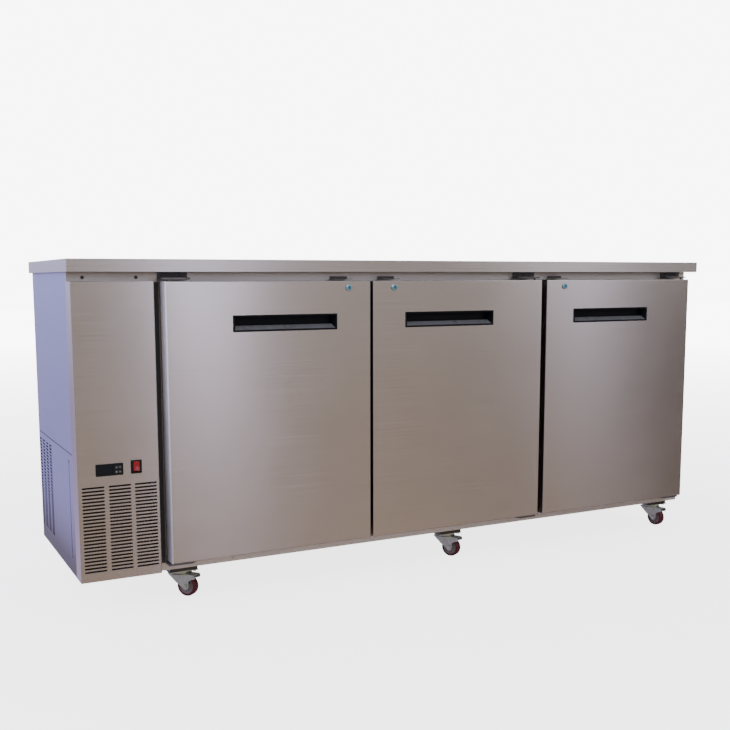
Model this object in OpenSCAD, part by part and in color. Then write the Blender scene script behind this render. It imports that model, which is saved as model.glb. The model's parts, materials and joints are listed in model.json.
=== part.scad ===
// Three-door under counter fridge with its machine compartment at the left end, on swivel casters.
//
// Inside the modules X runs from the worktop's left end, Y runs back from the worktop's front
// edge and Z runs up from the floor. placed() moves that to the part's own frame, which has its
// origin at the centre of the footprint, on the floor.

/* [Overall] */
// Worktop length
top_w = 2296; // [2280:1:2310]
// Worktop depth
top_d = 620; // [615:1:640]
// Worktop edge thickness
top_t = 36; // [30:1:40]
// Height from the floor to the top of the worktop
height = 1012; // [1010:1:1020]
// Worktop overhang past each end of the body
end_hang = 9; // [5:1:12]
// Worktop overhang past the back of the body
back_hang = 13; // [8:1:20]

/* [Body] */
// Height of the underside of the cold box
body_z = 102; // [100:1:104]
// Width of the machine compartment
machine_w = 232; // [228:1:236]
// Setback of the face frame from the worktop's front edge
face_y = 55; // [54:0.5:56]
// Thickness of the insulated walls
wall = 48; // [44:1:50]
// Sheet steel thickness
sheet = 1.2; // [1:0.1:1.5]

/* [Doors] */
// Width of each door
door_w = 650; // [646:1:652]
// Height of each door
door_h = 813; // [811:1:814]
// Height of the doors' lower edge
door_z = 136.5; // [136:0.5:138]
// Thickness of the door's steel shell
door_d = 46; // [45:0.5:47]
// Distance that the doors stand in front of the worktop's edge
door_proud = 10; // [8:1:12]
// Left edges of the three doors
door_x = [265.5, 924.5, 1595.5];

/* [Handles and locks] */
// Width of the recessed handle
handle_w = 335; // [330:1:338]
// Height of the recessed handle
handle_h = 48.5; // [46:0.5:50]
// Distance from the opening edge to the handle
handle_in = 115.5; // [112:0.5:118]
// Distance from the opening edge to the lock
lock_in = 75; // [72:1:80]
// Distance of the lock below the door's upper edge
lock_drop = 21; // [20.5:0.5:21.5]

/* [Machine panel] */
// Height of the panel's lower edge
panel_z = 111.7; // [110:0.1:113]
// Height of the panel's upper edge
panel_top = 950.2; // [949:0.1:951]
// Number of front air slots in a column
front_slots = 25; // [20:1:25]
// Vertical pitch of the front air slots
slot_pitch = 9.96; // [9.5:0.01:10]

/* [Casters] */
// Wheel radius
wheel_r = 32; // [30:0.5:32]
// Trail between the swivel axis and the wheel's axle
trail = 25; // [22:0.5:26]
// Positions of the swivel axes along the body
caster_x = [329, 1277, 2225];
// Positions of the swivel axes across the body
caster_y = [122, 540];
// Directions in which the wheels trail, clockwise from +X, front row first
caster_turn = [50, 62, 80, 35, 110, 60];

/* [Hidden] */

// Colours
brushed = [0.60, 0.57, 0.55];
side_steel = [0.62, 0.62, 0.70];
galvanised = [0.66, 0.68, 0.70];
dark = [0.10, 0.10, 0.11];
foam_yellow = [0.86, 0.78, 0.56];
liner_grey = [0.78, 0.79, 0.80];
copper = [0.72, 0.42, 0.26];
fin_silver = [0.80, 0.82, 0.84];
maroon = [0.36, 0.05, 0.10];
red = [0.80, 0.08, 0.08];
rubber_grey = [0.20, 0.20, 0.21];

// Small gaps: between sheets that only butt, and between parts that turn in each other
butt = 0.2;
run = 0.05;

// Body limits
body_l = end_hang;
body_r = top_w - end_hang;
body_b = top_d - back_hang;
under_z = height - top_t;
box_l = body_l + machine_w;
in_l = box_l + wall;
in_r = body_r - wall;
in_b = body_b - wall;
in_z0 = body_z + 50;
in_z1 = under_z - wall;
liner_t = 1;

// Doors
door_y = -door_proud;
door_back = door_y + door_d;
door_top = door_z + door_h;
hinge_right = [false, true, true];
pin_in = 12;
pin_y = 18;
pin_r = 4;
gasket_in = 12;
gasket_w = 18;
gasket_y = face_y - 0.3;

// Recessed handles, in door coordinates
handle_x = door_w - handle_in - handle_w;
handle_z = door_z + 666;
cup_rim = 3.5;
cup_y = 20;

// Face frame openings, one behind each door
jamb_in = 35;
sill_z = 172;
head_z = 914;
mullion_l = [door_x[0] + door_w - jamb_in, door_x[1] + door_w - jamb_in];
mullion_r = [door_x[1] + jamb_in, door_x[2] + jamb_in];
mullion_d = 45;

// Locks
lock_z = door_top - lock_drop;
plug_r = 6;
lock_face_y = -16;
cam_reach = 25;
cam_y = 24;
keeper_z = door_top + 4.5;

// Machine compartment
panel_y = 4;
panel_r = box_l - 1.7;
strip_z = panel_top + 0.4;
side_seam_z = 467;
return_y = 65.8;
tray_z = panel_z + sheet;
compressor_at = [125, 420];
condenser_fan_at = [124, 255];
controller_at = [59.5, 411.6];
key_at = [[116.7, 434], [126.6, 434], [116.7, 421.3], [126.6, 421.3]];
switch_at = [173.4, 431];
gland_at = [200, 165];
capillary_at = [400, 640];
suction_at = [470, 600];

// Evaporator
cover_x = in_l + 68;
evaporator_fan_at = [[225, 760], [440, 760]];

// Shelves: each bay's left and right ends, and the two levels
shelf_ends = [[368, 914], [926, 1579], [1591, 2229]];
shelf_z = [395, 640];
shelf_y = [110, 549];
strip_d = 8;
mullion_mid = [(mullion_l[0] + mullion_r[0]) / 2, (mullion_l[1] + mullion_r[1]) / 2];

// Casters
plate_z = body_z - 22;
yoke_z = plate_z - 13;
race_top = plate_z - 0.4;

// The footprint runs from the locks' faces to the worktop's back edge.
module placed() {
  translate([-top_w / 2, -(top_d + lock_face_y) / 2, 0]) children();
}

// A box from its lowest to its highest corner
module span(low, high) {
  translate(low) cube(high - low);
}

// A round bar between two points
module rod(a, b, r) {
  v = b - a;
  flat = norm([v[0], v[1]]);
  translate(a) rotate([0, atan2(flat, v[2]), atan2(v[1], v[0])]) cylinder(h = norm(v), r = r, $fn = 32);
}

// A cylinder along +Y
module along_y(x, y, z, h, r, fn = 48) {
  translate([x, y, z]) rotate([-90, 0, 0]) cylinder(h = h, r = r, $fn = fn);
}

// A cylinder along +X
module along_x(x, y, z, h, r, fn = 48) {
  translate([x, y, z]) rotate([0, 90, 0]) cylinder(h = h, r = r, $fn = fn);
}

// A pipe through a list of points, with slightly larger elbows
module pipe(points, r) {
  for (i = [0:len(points) - 2]) rod(points[i], points[i + 1], r);
  for (i = [1:len(points) - 2]) translate(points[i]) sphere(r = r * 1.3, $fn = 32);
}

// Moves to a door whose X runs from its hinge edge towards its opening edge
module on_door(i) {
  if (hinge_right[i]) translate([door_x[i] + door_w, 0, 0]) mirror([1, 0, 0]) children();
  else translate([door_x[i], 0, 0]) children();
}

// Holes for the two refrigerant lines through the cold box's left wall
module line_holes() {
  along_x(box_l - 1, capillary_at[0], capillary_at[1], wall + 2, 3.5);
  along_x(box_l - 1, suction_at[0], suction_at[1], wall + 2, 8);
}

// ---- Cabinet ----

module worktop() {
  skin = 1.5;
  lip = 16;
  rib_w = 60;
  rib_z = under_z + 9;
  color(brushed) placed() union() {
    difference() {
      span([0, 0, under_z], [top_w, top_d, height]);
      span([skin, skin, under_z + skin], [top_w - skin, top_d - skin, height - skin]);
      span([lip, lip, under_z - 1], [top_w - lip, top_d - lip, under_z + skin + 1]);
    }
    for (k = [1:4]) translate([k * top_w / 5 - rib_w / 2, 0, 0]) difference() {
      span([0, 24, rib_z], [rib_w, top_d - 24, height - skin]);
      span([skin, 23, rib_z + skin], [rib_w - skin, top_d - 23, height]);
    }
  }
}

module face_frame() {
  back = face_y + sheet;
  post = face_y + mullion_d;
  color(brushed) placed() {
    span([box_l, face_y, head_z], [body_r, back, under_z - butt]);
    // Strip and return over the machine compartment, with the strip's screws
    span([body_l, face_y, strip_z], [box_l - butt, back, under_z - butt]);
    span([body_l, back + butt, strip_z], [body_l + sheet, return_y, under_z - butt]);
    for (x = [53, 202]) along_y(x, face_y - 1.8 - butt, 961, 1.8, 4);
    span([box_l, face_y, body_z], [body_r, back, sill_z]);
    span([box_l, face_y, sill_z + butt], [door_x[0] + jamb_in, back, head_z - butt]);
    span([door_x[2] + door_w - jamb_in, face_y, sill_z + butt], [body_r, back, head_z - butt]);
    for (m = [0:1]) {
      span([mullion_l[m], face_y, sill_z + butt], [mullion_r[m], back, head_z - butt]);
      for (x = [mullion_l[m], mullion_r[m] - sheet])
        span([x, back + butt, in_z0 + butt], [x + sheet, post, in_z1 - butt]);
    }
  }
}

module outer_shell() {
  f = face_y + sheet + butt;
  color(side_steel) placed() {
    span([box_l, body_b - sheet, body_z], [body_r, body_b, under_z - butt]);
    span([body_r - sheet, f, body_z], [body_r, body_b - sheet - butt, under_z - butt]);
    span([box_l + sheet + butt, f, body_z], [body_r - sheet - butt, body_b - sheet - butt, body_z + sheet]);
    span([box_l + sheet + butt, f, under_z - sheet - butt],
         [body_r - sheet - butt, body_b - sheet - butt, under_z - butt]);
    difference() {
      span([box_l, f, body_z], [box_l + sheet, body_b - sheet - butt, under_z - butt]);
      line_holes();
    }
    span([body_l, return_y + butt, side_seam_z + 1], [body_l + sheet, body_b - sheet - butt, under_z - butt]);
  }
}

module foam_panels() {
  l = box_l + sheet + butt;
  r = body_r - sheet - butt;
  f = face_y + sheet + butt;
  b = body_b - sheet - butt;
  z0 = body_z + sheet;
  z1 = under_z - sheet - butt;
  li = in_l - liner_t;
  ri = in_r + liner_t;
  bi = in_b + liner_t;
  zi0 = in_z0 - liner_t;
  zi1 = in_z1 + liner_t;
  color(foam_yellow) placed() {
    span([l, bi, z0], [r, b, z1]);
    span([l, f, z0], [r, bi - butt, zi0]);
    span([l, f, zi1], [r, bi - butt, z1]);
    difference() {
      span([l, f, zi0 + butt], [li, bi - butt, zi1 - butt]);
      line_holes();
    }
    span([ri, f, zi0 + butt], [r, bi - butt, zi1 - butt]);
    // Mullion cores
    for (m = [0:1])
      span([mullion_l[m] + sheet, face_y + sheet + butt, in_z0 + butt],
           [mullion_r[m] - sheet, face_y + mullion_d, in_z1 - butt]);
  }
}

module inner_liner() {
  f = face_y + sheet + butt;
  color(liner_grey) placed() difference() {
    span([in_l - liner_t, f, in_z0 - liner_t], [in_r + liner_t, in_b + liner_t, in_z1 + liner_t]);
    span([in_l, f - 1, in_z0], [in_r, in_b, in_z1]);
    line_holes();
  }
}

// ---- Machine compartment covers ----

module machine_front_panel() {
  slot_h = 5;
  columns = [[19.5, 82], [94, 156.5], [167.5, 231]];
  first_z = 141.3;
  color(brushed) placed() difference() {
    union() {
      span([body_l, panel_y, panel_z], [panel_r, panel_y + sheet, panel_top]);
      span([body_l, panel_y, panel_z], [body_l + sheet, return_y, panel_top]);
      span([panel_r - sheet, panel_y, panel_z], [panel_r, face_y - butt, panel_top]);
      span([body_l, panel_y, panel_top - sheet], [panel_r, face_y - butt, panel_top]);
      span([body_l, panel_y, panel_z], [panel_r, 20, panel_z + sheet]);
    }
    for (c = columns, k = [0:front_slots - 1])
      span([c[0], panel_y - 1, first_z + k * slot_pitch - slot_h / 2],
           [c[1], panel_y + sheet + 1, first_z + k * slot_pitch + slot_h / 2]);
    span([controller_at[0] + 2.5, panel_y - 1, controller_at[1] + 2.5],
         [controller_at[0] + 74, panel_y + sheet + 1, controller_at[1] + 31.5]);
    span([switch_at[0] - 13.2, panel_y - 1, switch_at[1] - 17.3],
         [switch_at[0] + 13.2, panel_y + sheet + 1, switch_at[1] + 17.3]);
  }
}

module side_access_panel() {
  slit_y = 118;
  slit_z = [163, 441];
  slot_len = 38;
  slot_h = 4.5;
  rows = 28;
  color(side_steel) placed() {
    difference() {
      span([body_l, return_y + butt, panel_z + 0.3], [body_l + sheet, body_b - 3, side_seam_z - 1]);
      for (c = [0:3], k = [0:rows - 1])
        translate([body_l - 1, 411 + 57 * c - slot_len / 2, 163 + 10.35 * k - slot_h / 2])
          cube([sheet + 2, slot_len, slot_h]);
      span([body_l - 1, slit_y - 1.2, slit_z[0] + 8], [body_l + sheet + 1, slit_y + 1.2, slit_z[1] - 8]);
    }
    for (z = slit_z) along_x(body_l - 1, slit_y, z, 0.9, 4);
    // Strip behind the seam with the fixed panel above
    span([body_l + sheet + butt, return_y + 4, side_seam_z - 12],
         [body_l + 2 * sheet + butt, body_b - 6, side_seam_z + 12]);
  }
}

module rear_grille() {
  y = body_b - sheet;
  color(galvanised) placed() difference() {
    span([body_l, y, panel_z + 0.3], [box_l - butt, body_b, under_z - butt]);
    for (c = [0:1], k = [0:20])
      translate([28 + 100 * c, y - 1, 490 + 20 * k]) cube([88, sheet + 2, 7]);
    along_y(gland_at[0], y - 1, gland_at[1], sheet + 2, 8.2);
  }
}

module machine_tray() {
  up = 14;
  r = panel_r - sheet - 0.3;
  pan = [[40, 515], [215, 595]];
  pan_z = tray_z + 1.7;
  pan_h = 35;
  color(galvanised) placed() {
    union() {
      span([body_l + 1.4, 20.2, tray_z], [r, body_b - 1.6, tray_z + 1.5]);
      span([body_l + 1.4, 20.2, tray_z], [body_l + 2.9, body_b - 1.6, tray_z + up]);
      span([r - 1.5, 20.2, tray_z], [r, body_b - 1.6, tray_z + up]);
    }
    // Condensate pan
    difference() {
      span([pan[0][0], pan[0][1], pan_z], [pan[1][0], pan[1][1], pan_z + pan_h]);
      span([pan[0][0] + 1.5, pan[0][1] + 1.5, pan_z + 1.5],
           [pan[1][0] - 1.5, pan[1][1] - 1.5, pan_z + pan_h + 1]);
    }
  }
}

// ---- Refrigeration unit ----

module compressor() {
  r = 76;
  foot_z = tray_z + 13;
  shell_z = foot_z + 3;
  shell_h = 195;
  dome = 48;
  color(dark) placed() translate([compressor_at[0], compressor_at[1], 0]) {
    difference() {
      union() {
        span([-95, -62, foot_z], [95, 62, shell_z]);
        translate([0, 0, shell_z]) rotate_extrude($fn = 64) polygon(concat(
          [[0, 0], [r - 16, 0], [r - 4, 10], [r, 24]],
          [for (a = [0:15:75]) [r * cos(a), shell_h - dome + dome * sin(a)]],
          [[0, shell_h]]
        ));
        // Terminal cover
        span([-24, -r - 18, shell_z + 70], [24, -r + 12, shell_z + 130]);
      }
      // Sockets for the discharge and suction lines
      translate([0, -20, shell_z + shell_h - 10]) cylinder(h = 20, r = 3.8, $fn = 32);
      translate([25, 20, shell_z + shell_h - 14]) cylinder(h = 20, r = 5.3, $fn = 32);
    }
    // Rubber feet with their bolts
    for (x = [-80, 80], y = [-50, 50]) translate([x, y, 0]) {
      translate([0, 0, tray_z + 1.7]) cylinder(h = 11, r = 12, $fn = 40);
      translate([0, 0, shell_z + butt]) cylinder(h = 5, r = 7, $fn = 6);
    }
  }
}

module condenser_coil() {
  x = [26, 219];
  y = [34, 92];
  z = [140, 384];
  bend_r = 12.5;
  color(fin_silver) placed() {
    union() {
      span([x[0], y[0], z[0]], [x[1], y[1], z[1]]);
      for (s = [x[0] - 1.5, x[1]]) span([s, y[0] - 4, z[0] - 8], [s + 1.5, y[1] + 4, z[1] + 6]);
      // Return bends on both end plates, in two rows
      for (row = [0:1], k = [0:4]) translate([0, y[0] + 16 + 26 * row, z[0] + 34 + 44 * k]) {
        translate([x[1] + 1.5, 0, 0]) rotate([0, 90, 90]) mirror([0, 1, 0])
          rotate_extrude(angle = 180, $fn = 48) translate([bend_r, 0]) circle(r = 4, $fn = 24);
      }
    }
    // Fan shroud
    difference() {
      union() {
        span([x[0] - 1.5, y[1] + 4.2, z[0] - 8], [x[1] + 1.5, y[1] + 5.7, z[1] + 6]);
        along_y(condenser_fan_at[0], y[1] + 5.7, condenser_fan_at[1], 28, 93.7);
      }
      along_y(condenser_fan_at[0], y[1], condenser_fan_at[1], 60, 92.2);
    }
  }
}

// Fan seen along its own +Z axis, with a bored hub
module fan(tip_r, hub_r, depth, blades, pitch) {
  difference() {
    union() {
      cylinder(h = depth, r = hub_r, $fn = 40);
      intersection() {
        cylinder(h = depth, r = tip_r, $fn = 96);
        for (k = [0:blades - 1]) rotate([0, 0, k * 360 / blades])
          translate([hub_r - 3, 0, depth / 2]) rotate([pitch, 0, 0])
            translate([0, -tip_r * 0.31, -0.9]) cube([tip_r, tip_r * 0.62, 1.8]);
      }
    }
    translate([0, 0, -1]) cylinder(h = depth + 2, r = 3 + run, $fn = 32);
  }
}

module condenser_fan() {
  color(dark) placed() translate([condenser_fan_at[0], 122, condenser_fan_at[1]])
    rotate([-90, 0, 0]) fan(90, 26, 22, 5, 24);
}

module evaporator_fan(i) {
  color(dark) placed() translate([in_l + 56, evaporator_fan_at[i][0], evaporator_fan_at[i][1]])
    rotate([0, 90, 0]) fan(60, 20, 9, 5, 20);
}

module fan_motors() {
  color(rubber_grey) placed() {
    // Condenser fan motor on its cross bar, with the shaft in the fan's hub
    union() {
      along_y(condenser_fan_at[0], 149, condenser_fan_at[1], 52, 33);
      along_y(condenser_fan_at[0], 116, condenser_fan_at[1], 40, 3, 32);
      span([24.5, 146, condenser_fan_at[1] - 12], [220.5, 149, condenser_fan_at[1] + 12]);
      for (x = [24.5, 218.5]) span([x, 98, condenser_fan_at[1] - 12], [x + 2, 149, condenser_fan_at[1] + 12]);
    }
    // Evaporator fan motors
    for (f = evaporator_fan_at) union() {
      along_x(in_l + 38, f[0], f[1], 14, 27);
      along_x(in_l + 50, f[0], f[1], 16, 3, 32);
      span([in_l + 36, f[0] - 75, f[1] - 10], [in_l + 38, f[0] + 75, f[1] + 10]);
    }
  }
}

module refrigerant_lines() {
  shell_top = tray_z + 16 + 195;
  y0 = compressor_at[1];
  color(copper) placed() {
    // Discharge line to the top of the condenser
    pipe([[125, y0 - 20, shell_top - 6], [125, y0 - 20, 408], [38, y0 - 20, 408], [38, 62, 408], [38, 62, 384.2]], 3.5);
    // Liquid line, filter drier and capillary
    union() {
      pipe([[208, 62, 384.2], [208, 62, 470], [208, 262, 470]], 3.5);
      along_y(208, 250, 470, 90, 12);
      pipe([[208, 335, 470], [208, capillary_at[0], 470], [208, capillary_at[0], capillary_at[1]],
            [in_l + 6, capillary_at[0], capillary_at[1]]], 2);
    }
    // Suction line back to the compressor
    pipe([[in_l + 6, suction_at[0], suction_at[1]], [190, suction_at[0], suction_at[1]],
          [190, suction_at[0], 360], [150, y0 + 20, 360], [150, y0 + 20, shell_top - 8]], 5);
  }
}

module electrical_box() {
  box = [[70, 90, 500], [box_l - 0.4, 190, 620]];
  color(rubber_grey) placed() {
    difference() {
      span(box[0], box[1]);
      span(box[0] + [2.5, -1, 2.5], box[1] - [2.5, 2.5, 2.5]);
    }
    span(box[0] - [0, 3.2, 0], [box[1][0], box[0][1] - butt, box[1][2]]);
    // Terminal block
    for (k = [0:5]) translate([100 + 18 * k, 150, 540]) cube([16, 37.3, 22]);
    // Cable gland in the rear grille
    difference() {
      union() {
        along_y(gland_at[0], body_b - 12, gland_at[1], 12, 7.9);
        along_y(gland_at[0], body_b, gland_at[1], 4, 12, 6);
        along_y(gland_at[0], body_b + 4, gland_at[1], 6, 9);
        along_y(gland_at[0], body_b - 8, gland_at[1], 5, 12, 6);
      }
      along_y(gland_at[0], body_b - 20, gland_at[1], 40, 4.5);
    }
  }
}

// ---- Controls ----

module controller() {
  x = controller_at[0];
  z = controller_at[1];
  front = panel_y - 3;
  key = 8.6;
  color(dark) placed() difference() {
    union() {
      span([x, front, z], [x + 76.5, panel_y, z + 34]);
      span([x + 3, panel_y, z + 3], [x + 73.5, 60, z + 31]);
    }
    span([x + 5, front - 1, z + 5], [x + 48, front + 0.6, z + 29]);
    for (k = key_at) span([k[0] - key / 2, front - 1, k[1] - key / 2], [k[0] + key / 2, front + 2.6, k[1] + key / 2]);
  }
}

module controller_key(i) {
  k = key_at[i];
  front = panel_y - 3.4;
  color(dark) placed() span([k[0] - 4, front, k[1] - 4], [k[0] + 4, front + 2.2, k[1] + 4]);
}

module switch_bezel() {
  x = switch_at[0];
  z = switch_at[1];
  color(dark) placed() difference() {
    union() {
      span([x - 15.4, panel_y - 2, z - 19.2], [x + 15.4, panel_y, z + 19.2]);
      span([x - 14.2, panel_y - 3.2, z - 18], [x + 14.2, panel_y, z + 18]);
      span([x - 12.9, panel_y, z - 17], [x + 12.9, 34, z + 17]);
    }
    span([x - 8.8, -5, z - 15.2], [x + 8.8, 28, z + 15.2]);
    along_x(x - 10.6, 12, z, 21.2, 1.5 + run, 32);
  }
}

module rocker() {
  half = 13.4;
  color(red) placed() translate([switch_at[0], 12, switch_at[1]]) rotate([-8, 0, 0]) union() {
    translate([-8.5, 0, 0]) rotate([90, 0, 90]) linear_extrude(17)
      polygon([[4, -6], [4, 6], [-6, half], [-13.5, half], [-11.6, 0], [-13.5, -half], [-6, -half]]);
    translate([-10.4, 0, 0]) rotate([0, 90, 0]) cylinder(h = 20.8, r = 1.5, $fn = 32);
  }
}

// ---- Inside the cold box ----

module evaporator_coil() {
  x = [in_l + 3, in_l + 33];
  y = [128, 540];
  z = [600, 900];
  color(fin_silver) placed() {
    difference() {
      union() {
        span([x[0], y[0], z[0]], [x[1], y[1], z[1]]);
        for (s = [y[0] - 1.5, y[1]]) span([x[0] - 2, s, z[0] - 6], [x[1] + 2, s + 1.5, z[1] + 6]);
        for (k = [0:4]) translate([(x[0] + x[1]) / 2, y[0] - 1.5, z[0] + 40 + 55 * k])
          rotate([0, 90, 0]) mirror([0, 1, 0])
            rotate_extrude(angle = 180, $fn = 48) translate([9, 0]) circle(r = 4, $fn = 24);
      }
      // Sockets for the capillary and the suction line
      along_x(in_l + 2, capillary_at[0], capillary_at[1], 5, 3);
      along_x(in_l + 2, suction_at[0], suction_at[1], 5, 6);
    }
    // Drip tray
    difference() {
      span([in_l + butt, 114, 560], [in_l + 60, 550, 578]);
      span([in_l + 1.4, 115.2, 561.2], [in_l + 58.8, 548.8, 579]);
    }
  }
}

module evaporator_cover() {
  x = cover_x;
  y = [110, in_b - butt];
  z = [in_z0 + butt, in_z1 - butt];
  wire = 2;
  color(liner_grey) placed() union() {
    difference() {
      union() {
        span([x, y[0], z[0]], [x + sheet, y[1], z[1]]);
        span([in_l + butt, y[0], z[0]], [x, y[0] + sheet, z[1]]);
      }
      for (f = evaporator_fan_at) along_x(x - 1, f[0], f[1], sheet + 2, 66);
      for (k = [0:13]) span([x - 1, 190, 210 + 18 * k], [x + sheet + 1, 480, 217 + 18 * k]);
    }
    // Fan guards
    for (f = evaporator_fan_at) translate([x + sheet, f[0], f[1]]) rotate([0, 90, 0]) linear_extrude(wire) {
      for (r = [22, 38, 54, 70]) difference() {
        circle(r = r, $fn = 64);
        circle(r = r - wire, $fn = 64);
      }
      for (a = [0, 90]) rotate(a) square([140, wire], center = true);
    }
  }
}

// Slotted strip standing on a wall at y = 0, with its face at y = strip_d
module shelf_strip(clip_half) {
  color(galvanised) {
    difference() {
      span([-12, 0, 190], [12, strip_d, 890]);
      span([-10.8, -1, 189], [10.8, strip_d - sheet, 891]);
      for (k = [0:26]) span([-5, strip_d - 3, 215 + 25 * k], [5, strip_d + 1, 219 + 25 * k]);
    }
    for (z = shelf_z) span([-clip_half, strip_d + 0.1, z - 4], [clip_half, strip_d + 20, z]);
  }
}

module shelf_supports() {
  side_y = [138, 522];
  placed() {
    for (y = side_y) translate([cover_x + sheet, y, 0]) rotate([0, 0, -90]) shelf_strip(10);
    for (y = side_y) translate([in_r, y, 0]) rotate([0, 0, 90]) shelf_strip(10);
    for (x = mullion_mid) {
      translate([x, face_y + mullion_d, 0]) shelf_strip(26);
      translate([x, in_b, 0]) rotate([0, 0, 180]) shelf_strip(26);
    }
  }
}

module wire_shelf(x0, x1, z) {
  rim = 6;
  wire = 3;
  count = floor((x1 - x0) / 26);
  pitch = (x1 - x0 - rim) / count;
  difference() {
    span([x0, shelf_y[0], z], [x1, shelf_y[1], z + rim]);
    span([x0 + rim, shelf_y[0] + rim, z - 1], [x1 - rim, shelf_y[1] - rim, z + rim + 1]);
  }
  for (k = [1:count - 1])
    span([x0 + k * pitch, shelf_y[0] + rim / 2, z + wire],
         [x0 + k * pitch + wire, shelf_y[1] - rim / 2, z + rim]);
  for (y = [240, 410]) span([x0 + rim / 2, y, z], [x1 - rim / 2, y + rim, z + wire + 0.5]);
}

module wire_shelves() {
  color(galvanised) placed() for (s = shelf_ends, z = shelf_z) union() wire_shelf(s[0], s[1], z);
}

// ---- Hinges and lock keepers ----

// One bracket on the face frame, in door coordinates: up = 1 above the door, -1 below it.
// x0 is its end next to the hinge. The upper leaf stands up and the lower leaf hides behind the door.
module hinge_bracket(up, x0) {
  edge = up > 0 ? door_top : door_z;
  x1 = x0 + 88;
  leaf = up > 0 ? [-1, 20] : [-16, 5];
  screw_z = up > 0 ? 13 : -8;
  translate([0, 0, edge + up * 5.5]) mirror([0, 0, up > 0 ? 0 : 1]) {
    span([x0, face_y - 3, leaf[0]], [x1, face_y, leaf[1]]);
    difference() {
      span([-3, 8, 0], [x1, face_y - 1, 5]);
      translate([x1, 8, -1]) rotate([0, 0, 45]) cube([24, 24, 20], center = true);
    }
    translate([pin_in, pin_y, -27]) cylinder(h = 29, r = pin_r, $fn = 48);
    for (x = [17, 43, 69]) along_y(x0 + x, face_y - 4.8, screw_z, 2, 4.2, 32);
  }
}

module hinge_brackets() {
  color(dark) placed() for (i = [0:2]) on_door(i) {
    union() hinge_bracket(1, hinge_right[i] ? -12 : -3);
    union() hinge_bracket(-1, hinge_right[i] ? -12 : -3);
    // Lock keeper
    translate([door_w - lock_in, 0, keeper_z]) difference() {
      union() {
        span([-34, 16, 0], [26, face_y, 2]);
        span([-34, face_y - 2, 0], [26, face_y, 9]);
      }
      span([-21, 22, -1], [8, 29.5, 3]);
    }
  }
}

// ---- Doors ----

module handle_hole(depth, gap) {
  span([handle_x + cup_rim - gap, door_y - 1, handle_z + cup_rim - gap],
       [handle_x + handle_w - cup_rim + gap, depth, handle_z + handle_h - cup_rim + gap]);
}

module door_shell(i) {
  lx = door_w - lock_in;
  color(brushed) placed() on_door(i) {
    union() {
      difference() {
        span([0, door_y, door_z], [door_w, door_back, door_top]);
        span([sheet, door_y + sheet, door_z + sheet], [door_w - sheet, door_back + 1, door_top - sheet]);
        handle_hole(0, 0.2);
        along_y(lx, door_y - 1, lock_z, 5, 8.5);
        span([lx - 26, 22.8, door_top - 5], [lx + 8, 28.2, door_top + 1]);
        translate([pin_in, pin_y, door_z - 1]) cylinder(h = door_h + 2, r = pin_r + 0.6, $fn = 48);
      }
      // Hinge sleeves
      for (z = [door_z + sheet, door_top - sheet - 24]) translate([pin_in, pin_y, z]) difference() {
        cylinder(h = 24, r = 7, $fn = 48);
        translate([0, 0, -1]) cylinder(h = 26, r = pin_r + run, $fn = 48);
      }
    }
    // Lock barrel
    difference() {
      union() {
        along_y(lx, door_y - 5, lock_z, 4.9, 10);
        along_y(lx, door_y - 1, lock_z, 33, 8.3);
      }
      along_y(lx, door_y - 6, lock_z, 40, plug_r + run);
    }
  }
}

module door_core(i) {
  lx = door_w - lock_in;
  y0 = door_y + sheet;
  y1 = door_back - 2;
  color(foam_yellow) placed() on_door(i) difference() {
    union() {
      span([sheet, y0, door_z + sheet], [door_w - sheet, y1, door_top - sheet]);
      span([36, y1, door_z + 36], [door_w - 36, y1 + 10, door_top - 36]);
    }
    handle_hole(cup_y + 0.2, 0.2);
    along_y(lx, y0 - 1, lock_z, 34, 8.6);
    span([lx - 34, 22, lock_z - 9.5], [lx + 9, 32, door_top]);
    for (z = [door_z, door_top - 26]) translate([pin_in, pin_y, z]) cylinder(h = 26, r = 7.3, $fn = 48);
  }
}

module door_liner(i) {
  y0 = door_back - 2;
  rim = 34;
  color(liner_grey) placed() on_door(i) difference() {
    union() {
      span([sheet, y0, door_z + sheet], [door_w - sheet, door_back, door_top - sheet]);
      span([rim, y0, door_z + rim], [door_w - rim, door_back + 14, door_top - rim]);
    }
    span([rim + 2, y0 - 1, door_z + rim + 2], [door_w - rim - 2, door_back + 8, door_top - rim - 2]);
    span([rim + 26, door_back + 10, door_z + rim + 26],
         [door_w - rim - 26, door_back + 15, door_top - rim - 26]);
  }
}

// Four mitred lengths of magnetic gasket
module door_gasket(i) {
  x0 = gasket_in;
  x1 = door_w - gasket_in;
  z0 = door_z + gasket_in;
  z1 = door_top - gasket_in;
  w = gasket_w;
  m = 0.1;
  color(rubber_grey) placed() on_door(i) translate([0, gasket_y, 0]) rotate([90, 0, 0])
    linear_extrude(gasket_y - door_back) {
      polygon([[x0 + m, z0], [x1 - m, z0], [x1 - w - m, z0 + w], [x0 + w + m, z0 + w]]);
      polygon([[x0 + m, z1], [x1 - m, z1], [x1 - w - m, z1 - w], [x0 + w + m, z1 - w]]);
      polygon([[x0, z0 + m], [x0, z1 - m], [x0 + w, z1 - w - m], [x0 + w, z0 + w + m]]);
      polygon([[x1, z0 + m], [x1, z1 - m], [x1 - w, z1 - w - m], [x1 - w, z0 + w + m]]);
    }
}

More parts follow.
